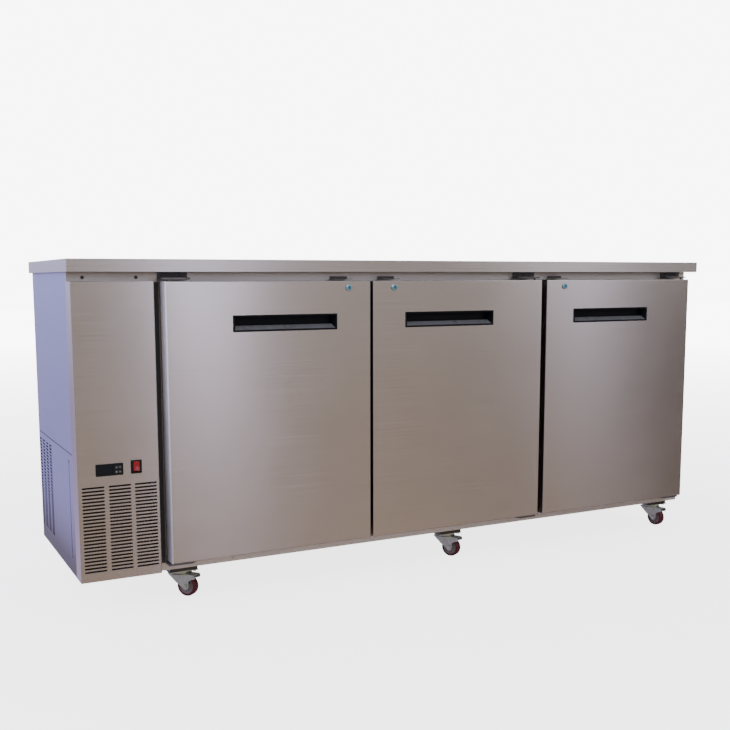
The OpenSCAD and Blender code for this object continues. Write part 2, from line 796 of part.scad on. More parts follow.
// Recessed pull with sloped lower and side lips
module door_handle(i) {
  x0 = handle_x;
  x1 = handle_x + handle_w;
  z0 = handle_z;
  z1 = handle_z + handle_h;
  t = 1.6;
  e = cup_rim + t;
  lip_z = 12.5;
  lip_y = 16;
  color(dark) placed() on_door(i) difference() {
    union() {
      span([x0, door_y - 1.5, z0], [x1, door_y, z1]);
      span([x0 + cup_rim, door_y - 1, z0 + cup_rim], [x1 - cup_rim, cup_y, z1 - cup_rim]);
    }
    difference() {
      span([x0 + e, door_y - 3, z0 + e], [x1 - e, cup_y - t, z1 - e]);
      // Lower lip, rising towards the back
      translate([x0, 0, 0]) rotate([90, 0, 90]) linear_extrude(handle_w)
        polygon([[door_y, z0 + e - 1], [door_y, z0 + e], [door_y + lip_y, z0 + e + lip_z],
                 [cup_y, z0 + e + lip_z], [cup_y, z0 + e - 1]]);
      // Side lips
      for (s = [0, 1]) translate([s * (x0 + x1), 0, z0]) mirror([s, 0, 0]) linear_extrude(handle_h)
        polygon([[x0 + e - 1, door_y], [x0 + e, door_y], [x0 + e + 7, door_y + lip_y],
                 [x0 + e + 7, cup_y], [x0 + e - 1, cup_y]]);
    }
  }
}

// Key plug with its cam and nut; the cam lies level when the door is unlocked
module lock(i) {
  lx = door_w - lock_in;
  color(galvanised) placed() on_door(i) difference() {
    union() {
      along_y(lx, lock_face_y, lock_z, cam_y + 1 - lock_face_y, plug_r);
      translate([lx, cam_y + 3, lock_z]) rotate([90, 0, 0]) linear_extrude(3) union() {
        circle(r = 6.5, $fn = 48);
        translate([-cam_reach, -6]) square([cam_reach, 12]);
        translate([-cam_reach, 0]) circle(r = 6, $fn = 48);
      }
      along_y(lx, cam_y + 2, lock_z, 5, 5.5, 6);
    }
    span([lx - 0.6, lock_face_y - 1, lock_z - 3.5], [lx + 0.6, lock_face_y + 3, lock_z + 3.5]);
  }
}

// ---- Casters ----

function caster_pos(k) = [caster_x[k % 3], caster_y[floor(k / 3)]];

// Moves to a caster whose X runs along its trail
module on_caster(k) {
  p = caster_pos(k);
  placed() translate([p[0], p[1], 0]) rotate([0, 0, -caster_turn[k]]) children();
}

module caster_plates() {
  color(galvanised) for (k = [0:5]) placed() translate([caster_pos(k)[0], caster_pos(k)[1], 0]) union() {
    // Top plate, and the spacer between it and the cabinet
    span([-45, -36, plate_z], [45, 36, plate_z + 3]);
    span([-43, -34, plate_z + 2], [43, 34, body_z]);
    for (x = [-36, 36], y = [-27, 27]) translate([x, y, plate_z - 3.5]) cylinder(h = 4, r = 5.5, $fn = 6);
    // Kingpin and its head
    translate([0, 0, yoke_z - 4.4]) cylinder(h = plate_z + 1 - yoke_z + 4.4, r = 5, $fn = 48);
    translate([0, 0, yoke_z - 4.4]) cylinder(h = 4, r = 9, $fn = 48);
  }
}

module caster_fork(k) {
  leg_t = 2.5;
  gap = 28;
  color(galvanised) on_caster(k) union() {
    difference() {
      union() {
        translate([0, 0, yoke_z]) cylinder(h = 4, r = 34, $fn = 64);
        translate([0, 0, yoke_z + 3]) cylinder(h = 5, r = 25, $fn = 64);
        translate([0, 0, yoke_z + 7]) cylinder(h = race_top - yoke_z - 7, r = 31, $fn = 64);
        span([-34, -gap / 2 - leg_t, yoke_z], [56, gap / 2 + leg_t, yoke_z + 3]);
      }
      translate([0, 0, yoke_z - 1]) cylinder(h = 30, r = 5 + run, $fn = 48);
    }
    for (s = [-1, 1]) translate([0, s * (gap + leg_t) / 2 + leg_t / 2, 0]) rotate([90, 0, 0])
      linear_extrude(leg_t) union() {
        polygon([[-36, yoke_z + 3], [-36, yoke_z - 1], [-7, wheel_r + 10], [trail - 10, wheel_r - 4],
                 [trail + 10, wheel_r - 4], [trail + 11, wheel_r + 16], [trail + 20, wheel_r + 22],
                 [trail + 34, wheel_r + 26], [trail + 35, yoke_z - 3], [trail + 32, yoke_z + 3]]);
        translate([trail, wheel_r]) circle(r = 11, $fn = 48);
      }
    // Axle bolt with its head and nut
    along_y(trail, -gap / 2 - leg_t - 4, wheel_r, gap + 2 * leg_t + 8, 4);
    along_y(trail, -gap / 2 - leg_t - 4, wheel_r, 4.5, 7, 6);
    along_y(trail, gap / 2 + leg_t - 0.5, wheel_r, 5, 6.5, 6);
  }
}

module caster_wheel(k) {
  r = wheel_r;
  bore = 4 + run;
  color(maroon) on_caster(k) translate([trail, 0, wheel_r]) rotate([90, 0, 0]) rotate_extrude($fn = 72)
    polygon([[bore, -13.7], [9, -13.7], [9, -10], [24, -10], [24, -12], [r - 3, -12], [r, -9],
             [r, 9], [r - 3, 12], [24, 12], [24, 10], [9, 10], [9, 13.7], [bore, 13.7]]);
}

// ---- Output ----

worktop();
face_frame();
outer_shell();
foam_panels();
inner_liner();
machine_front_panel();
side_access_panel();
rear_grille();
machine_tray();
compressor();
condenser_coil();
fan_motors();
refrigerant_lines();
electrical_box();
controller();
switch_bezel();
evaporator_coil();
evaporator_cover();
shelf_supports();
wire_shelves();
hinge_brackets();
caster_plates();
rocker();
condenser_fan();
for (i = [0:2]) {
  door_shell(i);
  door_core(i);
  door_liner(i);
  door_gasket(i);
  door_handle(i);
  lock(i);
}
for (i = [0:3]) controller_key(i);
for (i = [0:1]) evaporator_fan(i);
for (k = [0:5]) {
  caster_fork(k);
  caster_wheel(k);
}
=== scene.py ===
"""Looks for the three-door under counter fridge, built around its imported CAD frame.

M(x, y, z) takes the part's own measuring millimetres: X from the worktop's left end, Y back from its
front edge and Z up from the floor. It returns metres in the row frame.
"""

import json
import math

import bmesh
import bpy
from mathutils import Matrix, Vector


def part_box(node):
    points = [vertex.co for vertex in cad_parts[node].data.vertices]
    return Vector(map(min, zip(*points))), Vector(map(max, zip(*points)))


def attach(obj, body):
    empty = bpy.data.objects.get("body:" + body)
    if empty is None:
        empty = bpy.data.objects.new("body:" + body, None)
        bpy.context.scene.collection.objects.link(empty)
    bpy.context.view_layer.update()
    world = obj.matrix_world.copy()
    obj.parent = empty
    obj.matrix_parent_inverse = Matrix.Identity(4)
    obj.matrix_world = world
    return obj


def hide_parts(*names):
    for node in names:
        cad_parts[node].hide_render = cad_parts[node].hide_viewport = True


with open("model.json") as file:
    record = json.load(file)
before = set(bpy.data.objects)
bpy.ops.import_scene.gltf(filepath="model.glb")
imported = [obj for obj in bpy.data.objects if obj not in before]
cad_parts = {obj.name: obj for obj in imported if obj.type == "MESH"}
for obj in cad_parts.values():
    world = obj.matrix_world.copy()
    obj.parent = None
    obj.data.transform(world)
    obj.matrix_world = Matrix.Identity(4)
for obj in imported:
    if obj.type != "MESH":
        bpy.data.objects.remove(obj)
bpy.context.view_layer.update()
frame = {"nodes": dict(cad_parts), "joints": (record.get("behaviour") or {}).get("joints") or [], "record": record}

MM = 0.001
RECORD = frame["record"]
BODY = {n: b for b, nodes in RECORD["behaviour"]["bodies"].items() for n in nodes}
SLOT = {s["node"]: s["material_slot"] for s in RECORD["subparts"]}
TOP_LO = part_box("worktop")[0]
DONE = set()  # CAD nodes that a new piece stands for


def M(x, y, z):
    return Vector((TOP_LO.x + x * MM, TOP_LO.y + y * MM, z * MM))


def to_mm(point):
    """The reverse of M: metres in the row frame to the measuring millimetres."""
    x, y, z = point
    return Vector(((x - TOP_LO.x) / MM, (y - TOP_LO.y) / MM, z / MM))


def mm_box(node):
    """The lowest and highest corner of a node in the measuring millimetres."""
    return [to_mm(corner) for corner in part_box(node)]


# ---------------------------------------------------------------- materials

def new_material(name):
    mat = bpy.data.materials.new(name)
    mat.use_nodes = True
    tree = mat.node_tree
    return mat, tree, tree.nodes["Principled BSDF"]


def mapped_noise(tree, scale, detail=4.0, rough=0.6, size=1.0):
    coords = tree.nodes.new("ShaderNodeTexCoord")
    mapping = tree.nodes.new("ShaderNodeMapping")
    mapping.inputs["Scale"].default_value = scale
    noise = tree.nodes.new("ShaderNodeTexNoise")
    noise.inputs["Scale"].default_value = size
    noise.inputs["Detail"].default_value = detail
    noise.inputs["Roughness"].default_value = rough
    tree.links.new(coords.outputs["Object"], mapping.inputs["Vector"])
    tree.links.new(mapping.outputs["Vector"], noise.inputs["Vector"])
    return noise.outputs["Fac"]


def calc(tree, operation, a, b):
    """The result of a maths node. Each side is a socket or a number."""
    node = tree.nodes.new("ShaderNodeMath")
    node.operation = operation
    for socket, value in zip(node.inputs, (a, b)):
        if isinstance(value, bpy.types.NodeSocket):
            tree.links.new(value, socket)
        else:
            socket.default_value = value
    return node.outputs[0]


def voronoi(tree, scale):
    coords = tree.nodes.new("ShaderNodeTexCoord")
    cells = tree.nodes.new("ShaderNodeTexVoronoi")
    cells.inputs["Scale"].default_value = scale
    tree.links.new(coords.outputs["Object"], cells.inputs["Vector"])
    return cells.outputs


def height_above_floor(tree):
    coords = tree.nodes.new("ShaderNodeTexCoord")
    parts = tree.nodes.new("ShaderNodeSeparateXYZ")
    tree.links.new(coords.outputs["Object"], parts.inputs[0])
    return parts.outputs["Z"]


def ramp(tree, fac, stops):
    """Colours by position. The stops are (position, colour) and rise."""
    node = tree.nodes.new("ShaderNodeValToRGB")
    elements = node.color_ramp.elements
    for element, (position, colour) in zip(elements, (stops[0], stops[-1])):
        element.position, element.color = position, (*colour, 1)
    for position, colour in stops[1:-1]:
        elements.new(position).color = (*colour, 1)
    tree.links.new(fac, node.inputs["Fac"])
    return node.outputs["Color"]


def spread(tree, fac, low, high, src=(0.25, 0.75)):
    """Maps the source range onto low to high."""
    node = tree.nodes.new("ShaderNodeMapRange")
    node.inputs["From Min"].default_value, node.inputs["From Max"].default_value = src
    node.inputs["To Min"].default_value, node.inputs["To Max"].default_value = low, high
    tree.links.new(fac, node.inputs["Value"])
    return node.outputs["Result"]


def multiply(tree, a, b):
    return blend(tree, a, b, "MULTIPLY")


def blend(tree, a, b, how="MIX", factor=None):
    """Joins two colours. Without a factor the way of joining acts in full."""
    node = tree.nodes.new("ShaderNodeMix")
    node.data_type, node.blend_type = "RGBA", how
    node.inputs["Factor"].default_value = 1
    if factor:
        tree.links.new(factor, node.inputs["Factor"])
    tree.links.new(a, node.inputs["A"])
    tree.links.new(b, node.inputs["B"])
    return node.outputs["Result"]


def bump(tree, shader, height, strength, distance):
    node = tree.nodes.new("ShaderNodeBump")
    node.inputs["Strength"].default_value = strength
    node.inputs["Distance"].default_value = distance
    tree.links.new(height, node.inputs["Height"])
    tree.links.new(node.outputs["Normal"], shader.inputs["Normal"])


def shade(colour, factor):
    return tuple(min(1, c * factor) for c in colour)


def brushed_steel(name, colour, stretch, rough, anisotropy=0.8, streak=0.10, painted_floor_shade=None):
    """Brushed sheet: fine streaks along the grain, soft clouds, smudges and a faint bump.

    The last argument gives (height in metres, tint) stops of painted shade that darkens the sheet towards the
    floor.
    """
    mat, tree, shader = new_material(name)
    grain = mapped_noise(tree, stretch, detail=6, rough=0.75)
    clouds = mapped_noise(tree, (1.6, 1.6, 2.2), detail=2)
    smudge = mapped_noise(tree, (7, 7, 5), detail=5, rough=0.65)
    fine = ramp(tree, grain, [(0.3, shade(colour, 1 - streak)), (0.7, shade(colour, 1 + streak))])
    soft = ramp(tree, clouds, [(0.3, (0.94, 0.94, 0.94)), (0.7, (1, 1, 1))])
    base = multiply(tree, fine, soft)
    # Painted shade: the colour darkens towards the floor
    if painted_floor_shade:
        top = painted_floor_shade[-1][0]
        share = spread(tree, height_above_floor(tree), 0, 1, src=(0, top))
        base = multiply(tree, base, ramp(tree, share, [(z / top, tint) for z, tint in painted_floor_shade]))
    tree.links.new(base, shader.inputs["Base Color"])
    uneven = calc(tree, "ADD", spread(tree, grain, *rough), spread(tree, smudge, -0.012, 0.02))
    tree.links.new(uneven, shader.inputs["Roughness"])
    shader.inputs["Metallic"].default_value = 1
    shader.inputs["Anisotropic"].default_value = anisotropy
    across = tree.nodes.new("ShaderNodeTangent")
    across.direction_type, across.uv_map = "UV_MAP", "across_grain"
    tree.links.new(across.outputs["Tangent"], shader.inputs["Tangent"])
    bump(tree, shader, grain, 0.03, 0.0001)
    return mat


def grain_uvs(me):
    """UVs whose U runs across the brushed grain, so that highlights stretch that way."""
    layer = me.uv_layers.new(name="across_grain")
    for face in me.polygons:
        level = abs(face.normal.z) > 0.7
        upright = abs(face.normal.y) > abs(face.normal.x)
        for loop in face.loop_indices:
            x, y, z = me.vertices[me.loops[loop].vertex_index].co
            layer.data[loop].uv = (y, x) if level else (z, x if upright else y)


def zinc_plate(name, colour, rough=(0.26, 0.46)):
    """Zinc or galvanised sheet: faint crystals, scuffs and dull patches."""
    mat, tree, shader = new_material(name)
    cell = ramp(tree, voronoi(tree, 110)["Color"], [(0, shade(colour, 0.86)), (1, shade(colour, 1.08))])
    scuff = mapped_noise(tree, (40, 40, 40), detail=6, rough=0.7)
    dull = ramp(tree, scuff, [(0.35, (0.82, 0.82, 0.84)), (0.6, (1, 1, 1))])
    tree.links.new(multiply(tree, cell, dull), shader.inputs["Base Color"])
    tree.links.new(spread(tree, scuff, rough[1], rough[0]), shader.inputs["Roughness"])
    shader.inputs["Metallic"].default_value = 1
    bump(tree, shader, scuff, 0.12, 0.0003)
    return mat


def painted_edge_band(name, colour):
    """A pale band along the hinge edge: painted reflection, darker towards the floor as painted shade."""
    mat, tree, shader = new_material(name)
    lit_share = spread(tree, height_above_floor(tree), 0, 1, src=(0.25, 0.78))
    wear = mapped_noise(tree, (9, 9, 60), detail=5)
    painted_band = ramp(tree, lit_share, [(0, shade(colour, 0.55)), (0.45, shade(colour, 0.72)), (1, colour)])
    worn = ramp(tree, wear, [(0.3, (0.93, 0.93, 0.93)), (0.7, (1, 1, 1))])
    tree.links.new(multiply(tree, painted_band, worn), shader.inputs["Base Color"])
    tree.links.new(spread(tree, wear, 0.5, 0.62), shader.inputs["Roughness"])
    shader.inputs["Metallic"].default_value = 0.2
    bump(tree, shader, wear, 0.05, 0.0001)
    return mat


def moulded(name, colour, rough, grain=900, strength=0.12, coat=0.0, wear=1.15, shine=0.5):
    """Moulded plastic, rubber or paint: fine surface grain with uneven gloss and faint rubbing."""
    mat, tree, shader = new_material(name)
    fine = mapped_noise(tree, (grain,) * 3, detail=3)
    broad = mapped_noise(tree, (22, 22, 22), detail=5, rough=0.65)
    rubbed = ramp(tree, broad, [(0.3, shade(colour, 0.9)), (0.55, colour), (0.8, shade(colour, wear))])
    tree.links.new(rubbed, shader.inputs["Base Color"])
    tree.links.new(spread(tree, broad, *rough), shader.inputs["Roughness"])
    shader.inputs["Specular IOR Level"].default_value = shine
    shader.inputs["Coat Weight"].default_value = coat
    shader.inputs["Coat Roughness"].default_value = 0.08
    bump(tree, shader, fine, strength, 0.00015)
    return mat


def foam_material(name, colour):
    mat, tree, shader = new_material(name)
    cells = voronoi(tree, 420)["Distance"]
    tree.links.new(ramp(tree, cells, [(0, shade(colour, 0.8)), (0.6, colour)]), shader.inputs["Base Color"])
    shader.inputs["Roughness"].default_value = 0.9
    bump(tree, shader, cells, 0.4, 0.001)
    return mat


def fin_material(name, colour, axis):
    """A finned coil: thin fins side by side along one axis. The dark stripes between the fins are painted shade in
    the gaps.
    """
    mat, tree, shader = new_material(name)
    coords = tree.nodes.new("ShaderNodeTexCoord")
    bands = tree.nodes.new("ShaderNodeTexWave")
    bands.bands_direction = axis
    bands.inputs["Scale"].default_value = 72
    bands.inputs["Distortion"].default_value = 0.4
    tree.links.new(coords.outputs["Object"], bands.inputs["Vector"])
    # Painted shade: dark stripes between the fins
    tree.links.new(ramp(tree, bands.outputs["Fac"], [(0.2, shade(colour, 0.18)), (0.6, colour)]),
                   shader.inputs["Base Color"])
    shader.inputs["Metallic"].default_value = 1
    shader.inputs["Roughness"].default_value = 0.38
    bump(tree, shader, bands.outputs["Fac"], 0.6, 0.001)
    return mat


ALONG_X_UPRIGHT = (3, 3, 900)   # horizontal grain on upright faces
ALONG_X = (3, 900, 900)         # grain along the worktop
FRONT = (0.46, 0.425, 0.40)
# SIDE's lavender blue is painted reflection of cool light from the left, not the steel's own colour
SIDE = (0.36, 0.375, 0.63)
FINS = (0.70, 0.72, 0.74)
# Painted shade for the side steel: darker and less blue towards the floor
SIDE_PAINTED_FLOOR_SHADE = [(0.1, (0.09, 0.088, 0.055)), (0.145, (0.13, 0.126, 0.08)), (0.2, (0.52, 0.50, 0.44)),
             (0.26, (0.80, 0.79, 0.76)), (0.34, (1, 1, 1))]

MAT = {
    "brushed_front": brushed_steel("brushed_front", FRONT, ALONG_X_UPRIGHT, rough=(0.20, 0.26),
                                   anisotropy=0.91, streak=0.08),
    "side_steel": brushed_steel("side_steel", SIDE, ALONG_X_UPRIGHT, rough=(0.34, 0.48), painted_floor_shade=SIDE_PAINTED_FLOOR_SHADE),
    "galvanised": zinc_plate("galvanised", (0.52, 0.54, 0.56)),
    "zinc": zinc_plate("zinc", (0.45, 0.485, 0.37), rough=(0.24, 0.4)),
    "lock_chrome": zinc_plate("lock_chrome", (0.34, 0.54, 0.62), rough=(0.14, 0.26)),
    "foam": foam_material("foam", (0.80, 0.68, 0.42)),
    "liner_steel": brushed_steel("liner_steel", (0.62, 0.63, 0.64), ALONG_X_UPRIGHT, rough=(0.3, 0.42),
                                 streak=0.05),
    "door_lining": moulded("door_lining", (0.72, 0.73, 0.73), rough=(0.28, 0.36), coat=0.2),
    "gasket": moulded("gasket", (0.2, 0.2, 0.205), rough=(0.5, 0.62)),
    "handle_black": moulded("handle_black", (0.004, 0.005, 0.006), rough=(0.42, 0.52), grain=1400,
                            shine=0.1),
    "control_black": moulded("control_black", (0.005, 0.006, 0.006), rough=(0.3, 0.4), strength=0.04,
                             shine=0.2),
    "key_cap": moulded("key_cap", (0.03, 0.033, 0.036), rough=(0.4, 0.5)),
    "rocker_red": moulded("rocker_red", (0.26, 0.005, 0.008), rough=(0.2, 0.3), grain=200, coat=0.15,
                          shine=0.4),
    "compressor_black": moulded("compressor_black", (0.012, 0.012, 0.014), rough=(0.18, 0.34), grain=300,
                                coat=0.3),
    "fins": fin_material("fins", FINS, "X"),
    "copper": zinc_plate("copper", (0.72, 0.32, 0.17), rough=(0.2, 0.36)),
    "motor": moulded("motor", (0.05, 0.05, 0.055), rough=(0.36, 0.5), grain=300),
    "fan_blade": moulded("fan_blade", (0.022, 0.022, 0.024), rough=(0.4, 0.55)),
    "box_grey": moulded("box_grey", (0.12, 0.12, 0.125), rough=(0.45, 0.6)),
    "hinge_dark": moulded("hinge_dark", (0.075, 0.070, 0.064), rough=(0.3, 0.5), grain=350, wear=1.6),
    "wheel_red": moulded("wheel_red", (0.075, 0.004, 0.010), rough=(0.4, 0.55), grain=250, wear=1.4,
                         shine=0.35),
}
# Variants for single pieces
WORKTOP = brushed_steel("worktop_steel", (0.45, 0.42, 0.40), ALONG_X, rough=(0.24, 0.34),
                        anisotropy=0.9, streak=0.16)
FIN_Y = fin_material("fins_across_depth", FINS, "Y")
FIN_DARK = fin_material("condenser_fins", (0.07, 0.07, 0.075), "X")
# The lip is lighter than the pull's black as painted reflection on its upward face
LIT_LIP = moulded("handle_lip", (0.115, 0.117, 0.12), rough=(0.24, 0.36), grain=1400, wear=1.35)
PLUG = zinc_plate("lock_plug", (0.10, 0.28, 0.36), rough=(0.14, 0.24))
# Painted light: a lighter copy of the dark hinge colour, lifting the shade under the worktop
LIFTED_BRACKET = moulded("hinge_grey", (0.13, 0.12, 0.115), rough=(0.4, 0.55), grain=350, wear=1.4, shine=0.3)
# Painted light: the face frame is a lighter copy of the front steel, lifting the shade under the worktop's
# overhang
LIFTED_FRAME = brushed_steel("frame_steel", (0.60, 0.565, 0.53), ALONG_X_UPRIGHT, rough=(0.42, 0.54),
                      anisotropy=0.6, streak=0.05)
DARK_STRIP = moulded("jamb_dark_strip", (0.03, 0.03, 0.032), rough=(0.5, 0.62))
EDGE = painted_edge_band("door_edge", (0.90, 0.86, 0.87))
HUB = moulded("wheel_core", (0.17, 0.137, 0.122), rough=(0.4, 0.55), grain=300)
LENS = moulded("display_lens", (0.006, 0.009, 0.012), rough=(0.1, 0.16), grain=60, strength=0.01,
               coat=0.05, shine=0.2)
MARK = moulded("key_mark", (0.20, 0.21, 0.22), rough=(0.4, 0.5))

# Passivated zinc is duller than bare metal
MAT["zinc"].node_tree.nodes["Principled BSDF"].inputs["Metallic"].default_value = 0.6


# ---------------------------------------------------------------- mesh helpers

def smooth(me, angle, largest):
    """Smooths the bends. Faces square to an axis, or larger than so many square metres, stay flat."""
    # This call also sets every face smooth, so it comes first
    me.set_sharp_from_angle(angle=math.radians(angle))
    for p in me.polygons:
        p.use_smooth = p.area < largest and max(abs(c) for c in p.normal) < 0.99999


def piece(name, me, body, slot, materials=None, replaces=(), angle=32, largest=0.002):
    """Links a finished mesh as one piece of the object."""
    grain_uvs(me)
    if len(me.materials):
        me.materials.clear()
    for mat in materials or [MAT[slot]]:
        me.materials.append(mat)
    smooth(me, angle, largest)
    ob = bpy.data.objects.new(name, me)
    bpy.context.scene.collection.objects.link(ob)
    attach(ob, body)
    if replaces:
        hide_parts(*replaces)
        DONE.update(replaces)
    return ob


def evaluated_mesh(ob):
    """A new mesh of what the object looks like with its modifiers."""
    return bpy.data.meshes.new_from_object(ob.evaluated_get(bpy.context.evaluated_depsgraph_get()))


def curve_mesh(name, curve):
    holder = bpy.data.objects.new(name + "_curve", curve)
    bpy.context.scene.collection.objects.link(holder)
    me = evaluated_mesh(holder)
    bpy.data.objects.remove(holder)
    return me


def quarter(steps):
    """Angles from 0 to 90 degrees in equal steps."""
    return [math.pi / 2 * s / steps for s in range(steps + 1)]


def to_mesh(bm, name):
    bmesh.ops.recalc_face_normals(bm, faces=bm.faces)
    me = bpy.data.meshes.new(name)
    bm.to_mesh(me)
    bm.free()
    return me


def islands(bm):
    """The separate solids of a mesh, as lists of faces."""
    left, found = set(bm.faces), []
    while left:
        todo, group = [left.pop()], []
        while todo:
            face = todo.pop()
            group.append(face)
            for edge in face.edges:
                for other in edge.link_faces:
                    if other in left:
                        left.remove(other)
                        todo.append(other)
        found.append(group)
    return found


def cad_mesh(node, keep=None):
    """A node's solids, welded, with flat faces whole. keep(lo, hi) picks solids by their box in metres."""
    bm = bmesh.new()
    bm.from_mesh(frame["nodes"][node].data)
    bmesh.ops.remove_doubles(bm, verts=bm.verts, dist=2e-6)
    if keep:
        drop = []
        for group in islands(bm):
            points = [v.co for f in group for v in f.verts]
            lo = Vector([min(p[a] for p in points) for a in range(3)])
            hi = Vector([max(p[a] for p in points) for a in range(3)])
            if not keep(lo, hi):
                drop += group
        bmesh.ops.delete(bm, geom=drop, context="FACES")
    bmesh.ops.dissolve_limit(bm, angle_limit=math.radians(0.4), verts=bm.verts, edges=bm.edges)
    return bm


def soften(bm, width, segments=2):
    """Rounds the sharp edges of a mesh by width millimetres."""
    edges = [e for e in bm.edges if len(e.link_faces) == 2 and e.calc_face_angle(0) > math.radians(35)]
    bmesh.ops.bevel(bm, geom=edges, offset=width * MM, segments=segments, profile=0.5,
                    affect="EDGES", clamp_overlap=True)
    return bm


def softened(name, node, width, segments=2, keep=None, slot=None, materials=None, replaces=None):
    """A CAD node's own shape with eased edges, as one piece."""
    bm = soften(cad_mesh(node, keep), width, segments)
    return piece(name, to_mesh(bm, name), BODY[node], slot or SLOT[node], materials,
                 (node,) if replaces is None else replaces)


def add_box(bm, lo, hi, width=0.0):
    """Adds a box between two corners in metres, with rounded edges."""
    size = hi - lo
    made = bmesh.ops.create_cube(bm, size=1.0)["verts"]
    for v in made:
        v.co = Vector([lo[a] + (v.co[a] + 0.5) * size[a] for a in range(3)])
    if width:
        edges = list({e for v in made for e in v.link_edges})
        bmesh.ops.bevel(bm, geom=edges, offset=width * MM, segments=2, profile=0.5,
                        affect="EDGES", clamp_overlap=True)


def lathe(bm, profile, centre, axis, steps=48, closed=False):
    """Turns (radius, height) millimetres round an axis through centre.

    closed joins the profile's last point to its first.
    """
    turn = Vector((0, 0, 1)).rotation_difference(Vector(axis).normalized()).to_matrix().to_4x4()
    place = Matrix.Translation(centre) @ turn
    loops = []
    for r, h in profile:
        if r < 1e-6:
            loops.append([bm.verts.new(place @ Vector((0, 0, h * MM)))])
            continue
        loops.append([bm.verts.new(place @ Vector((r * MM * math.cos(a), r * MM * math.sin(a), h * MM)))
                      for a in (2 * math.pi * s / steps for s in range(steps))])
    pairs = list(zip(loops, loops[1:]))
    if closed:
        pairs.append((loops[-1], loops[0]))
    for a, b in pairs:
        for s in range(steps):
            t = (s + 1) % steps
            quad = [a[s % len(a)], a[t % len(a)], b[t % len(b)], b[s % len(b)]]
            quad = list(dict.fromkeys(quad))
            if len(quad) > 2:
                bm.faces.new(quad)


def rounded_path(points, bend, steps=6):
    """A path whose inner corners are rounded to the bend radius, all in millimetres."""
    points = [Vector(p) for p in points]
    path = [points[0]]
    for a, b, c in zip(points, points[1:], points[2:]):
        u, v = (a - b).normalized(), (c - b).normalized()
        cut = min(bend, (a - b).length * 0.48, (c - b).length * 0.48)
        for s in range(steps + 1):
            t = s / steps
            path.append(b + u * cut * (1 - t) ** 2 + v * cut * t ** 2)
    return path + [points[-1]]


def tubes(name, runs):
    """Round bars or pipes as one mesh. Each run is (points in millimetres, radius, bend, cyclic)."""
    curve = bpy.data.curves.new(name, "CURVE")
    curve.dimensions = "3D"
    curve.bevel_depth = MM
    curve.bevel_resolution = 3
    curve.use_fill_caps = True
    for points, radius, bend, cyclic in runs:
        path = rounded_path(points, bend) if bend else [Vector(p) for p in points]
        spline = curve.splines.new("POLY")
        spline.points.add(len(path) - 1)
        for point, place in zip(spline.points, path):
            point.co = (*M(*place), 1)
            point.radius = radius
        spline.use_cyclic_u = cyclic
    return curve_mesh(name, curve)


def slot_outline(u0, u1, v0, v1, steps=6):
    """A stadium between two corners, long either way, as (u, v) millimetres."""
    if u1 - u0 < v1 - v0:
        return [(u, v) for v, u in slot_outline(v0, v1, u0, u1, steps)]
    r, mid = (v1 - v0) / 2, (v0 + v1) / 2
    ends = [(u1 - r, -90), (u0 + r, 90)]
    return [(c + r * math.cos(math.radians(start + 180 * s / steps)),
             mid + r * math.sin(math.radians(start + 180 * s / steps)))
            for c, start in ends for s in range(steps + 1)]


def round_rect(u0, v0, u1, v1, r, steps=5):
    """A rectangle with rounded corners, as (u, v) millimetres."""
    corners = [(u1 - r, v0 + r, -90), (u1 - r, v1 - r, 0), (u0 + r, v1 - r, 90), (u0 + r, v0 + r, 180)]
    return [(cu + r * math.cos(math.radians(start + 90 * s / steps)),
             cv + r * math.sin(math.radians(start + 90 * s / steps)))
            for cu, cv, start in corners for s in range(steps + 1)]


def pierced_sheet(name, outline, holes, depth, thick, place, rim):
    """A flat sheet with holes. place(u, v, w) turns its millimetres into metres.

    w runs from depth to depth + thick. rim rounds the edges.
    """
    curve = bpy.data.curves.new(name, "CURVE")
    curve.dimensions = "2D"
    curve.fill_mode = "BOTH"
    curve.extrude = thick / 2 - rim
    curve.bevel_depth = rim
    curve.offset = -rim
    curve.bevel_resolution = 1
    for ring in [outline] + holes:
        spline = curve.splines.new("POLY")
        spline.points.add(len(ring) - 1)
        for point, (u, v) in zip(spline.points, ring):
            point.co = (u, v, 0, 1)
        spline.use_cyclic_u = True
    me = curve_mesh(name, curve)
    bm = bmesh.new()
    bm.from_mesh(me)
    bpy.data.meshes.remove(me)
    bmesh.ops.remove_doubles(bm, verts=bm.verts, dist=1e-4)
    for v in bm.verts:
        v.co = place(v.co.x, v.co.y, depth + thick / 2 + v.co.z)
    return bm


def strip(bm, path, inward, z0, z1):
    """A bent sheet: a path of (x, y) millimetres, its copy moved inward, run from z0 to z1."""
    rows = []
    for (x, y), (ix, iy) in zip(path, inward):
        rows.append([bm.verts.new(M(*p)) for p in ((x, y, z0), (x, y, z1), (ix, iy, z1), (ix, iy, z0))])
    for a, b in zip(rows, rows[1:]):
        for k in range(4):
            bm.faces.new([a[k], a[(k + 1) % 4], b[(k + 1) % 4], b[k]])
    bm.faces.new(rows[0])
    bm.faces.new(rows[-1][::-1])


def ring_loops(bm, rect, profile, place, closed=False, cap_start=False):
    """Nested rounded rectangles joined into a skin. Each profile entry is (inset, depth, corner radius)."""
    u0, v0, u1, v1 = rect
    loops = [[bm.verts.new(place(u, v, depth)) for u, v in round_rect(u0 + i, v0 + i, u1 - i, v1 - i, r)]
             for i, depth, r in profile]
    pairs = list(zip(loops, loops[1:]))
    if closed:
        pairs.append((loops[-1], loops[0]))
    for a, b in pairs:
        for s in range(len(a)):
            t = (s + 1) % len(a)
            bm.faces.new([a[s], a[t], b[t], b[s]])
    if not closed:
        bm.faces.new(loops[-1])
    if cap_start:
        bm.faces.new(loops[0][::-1])


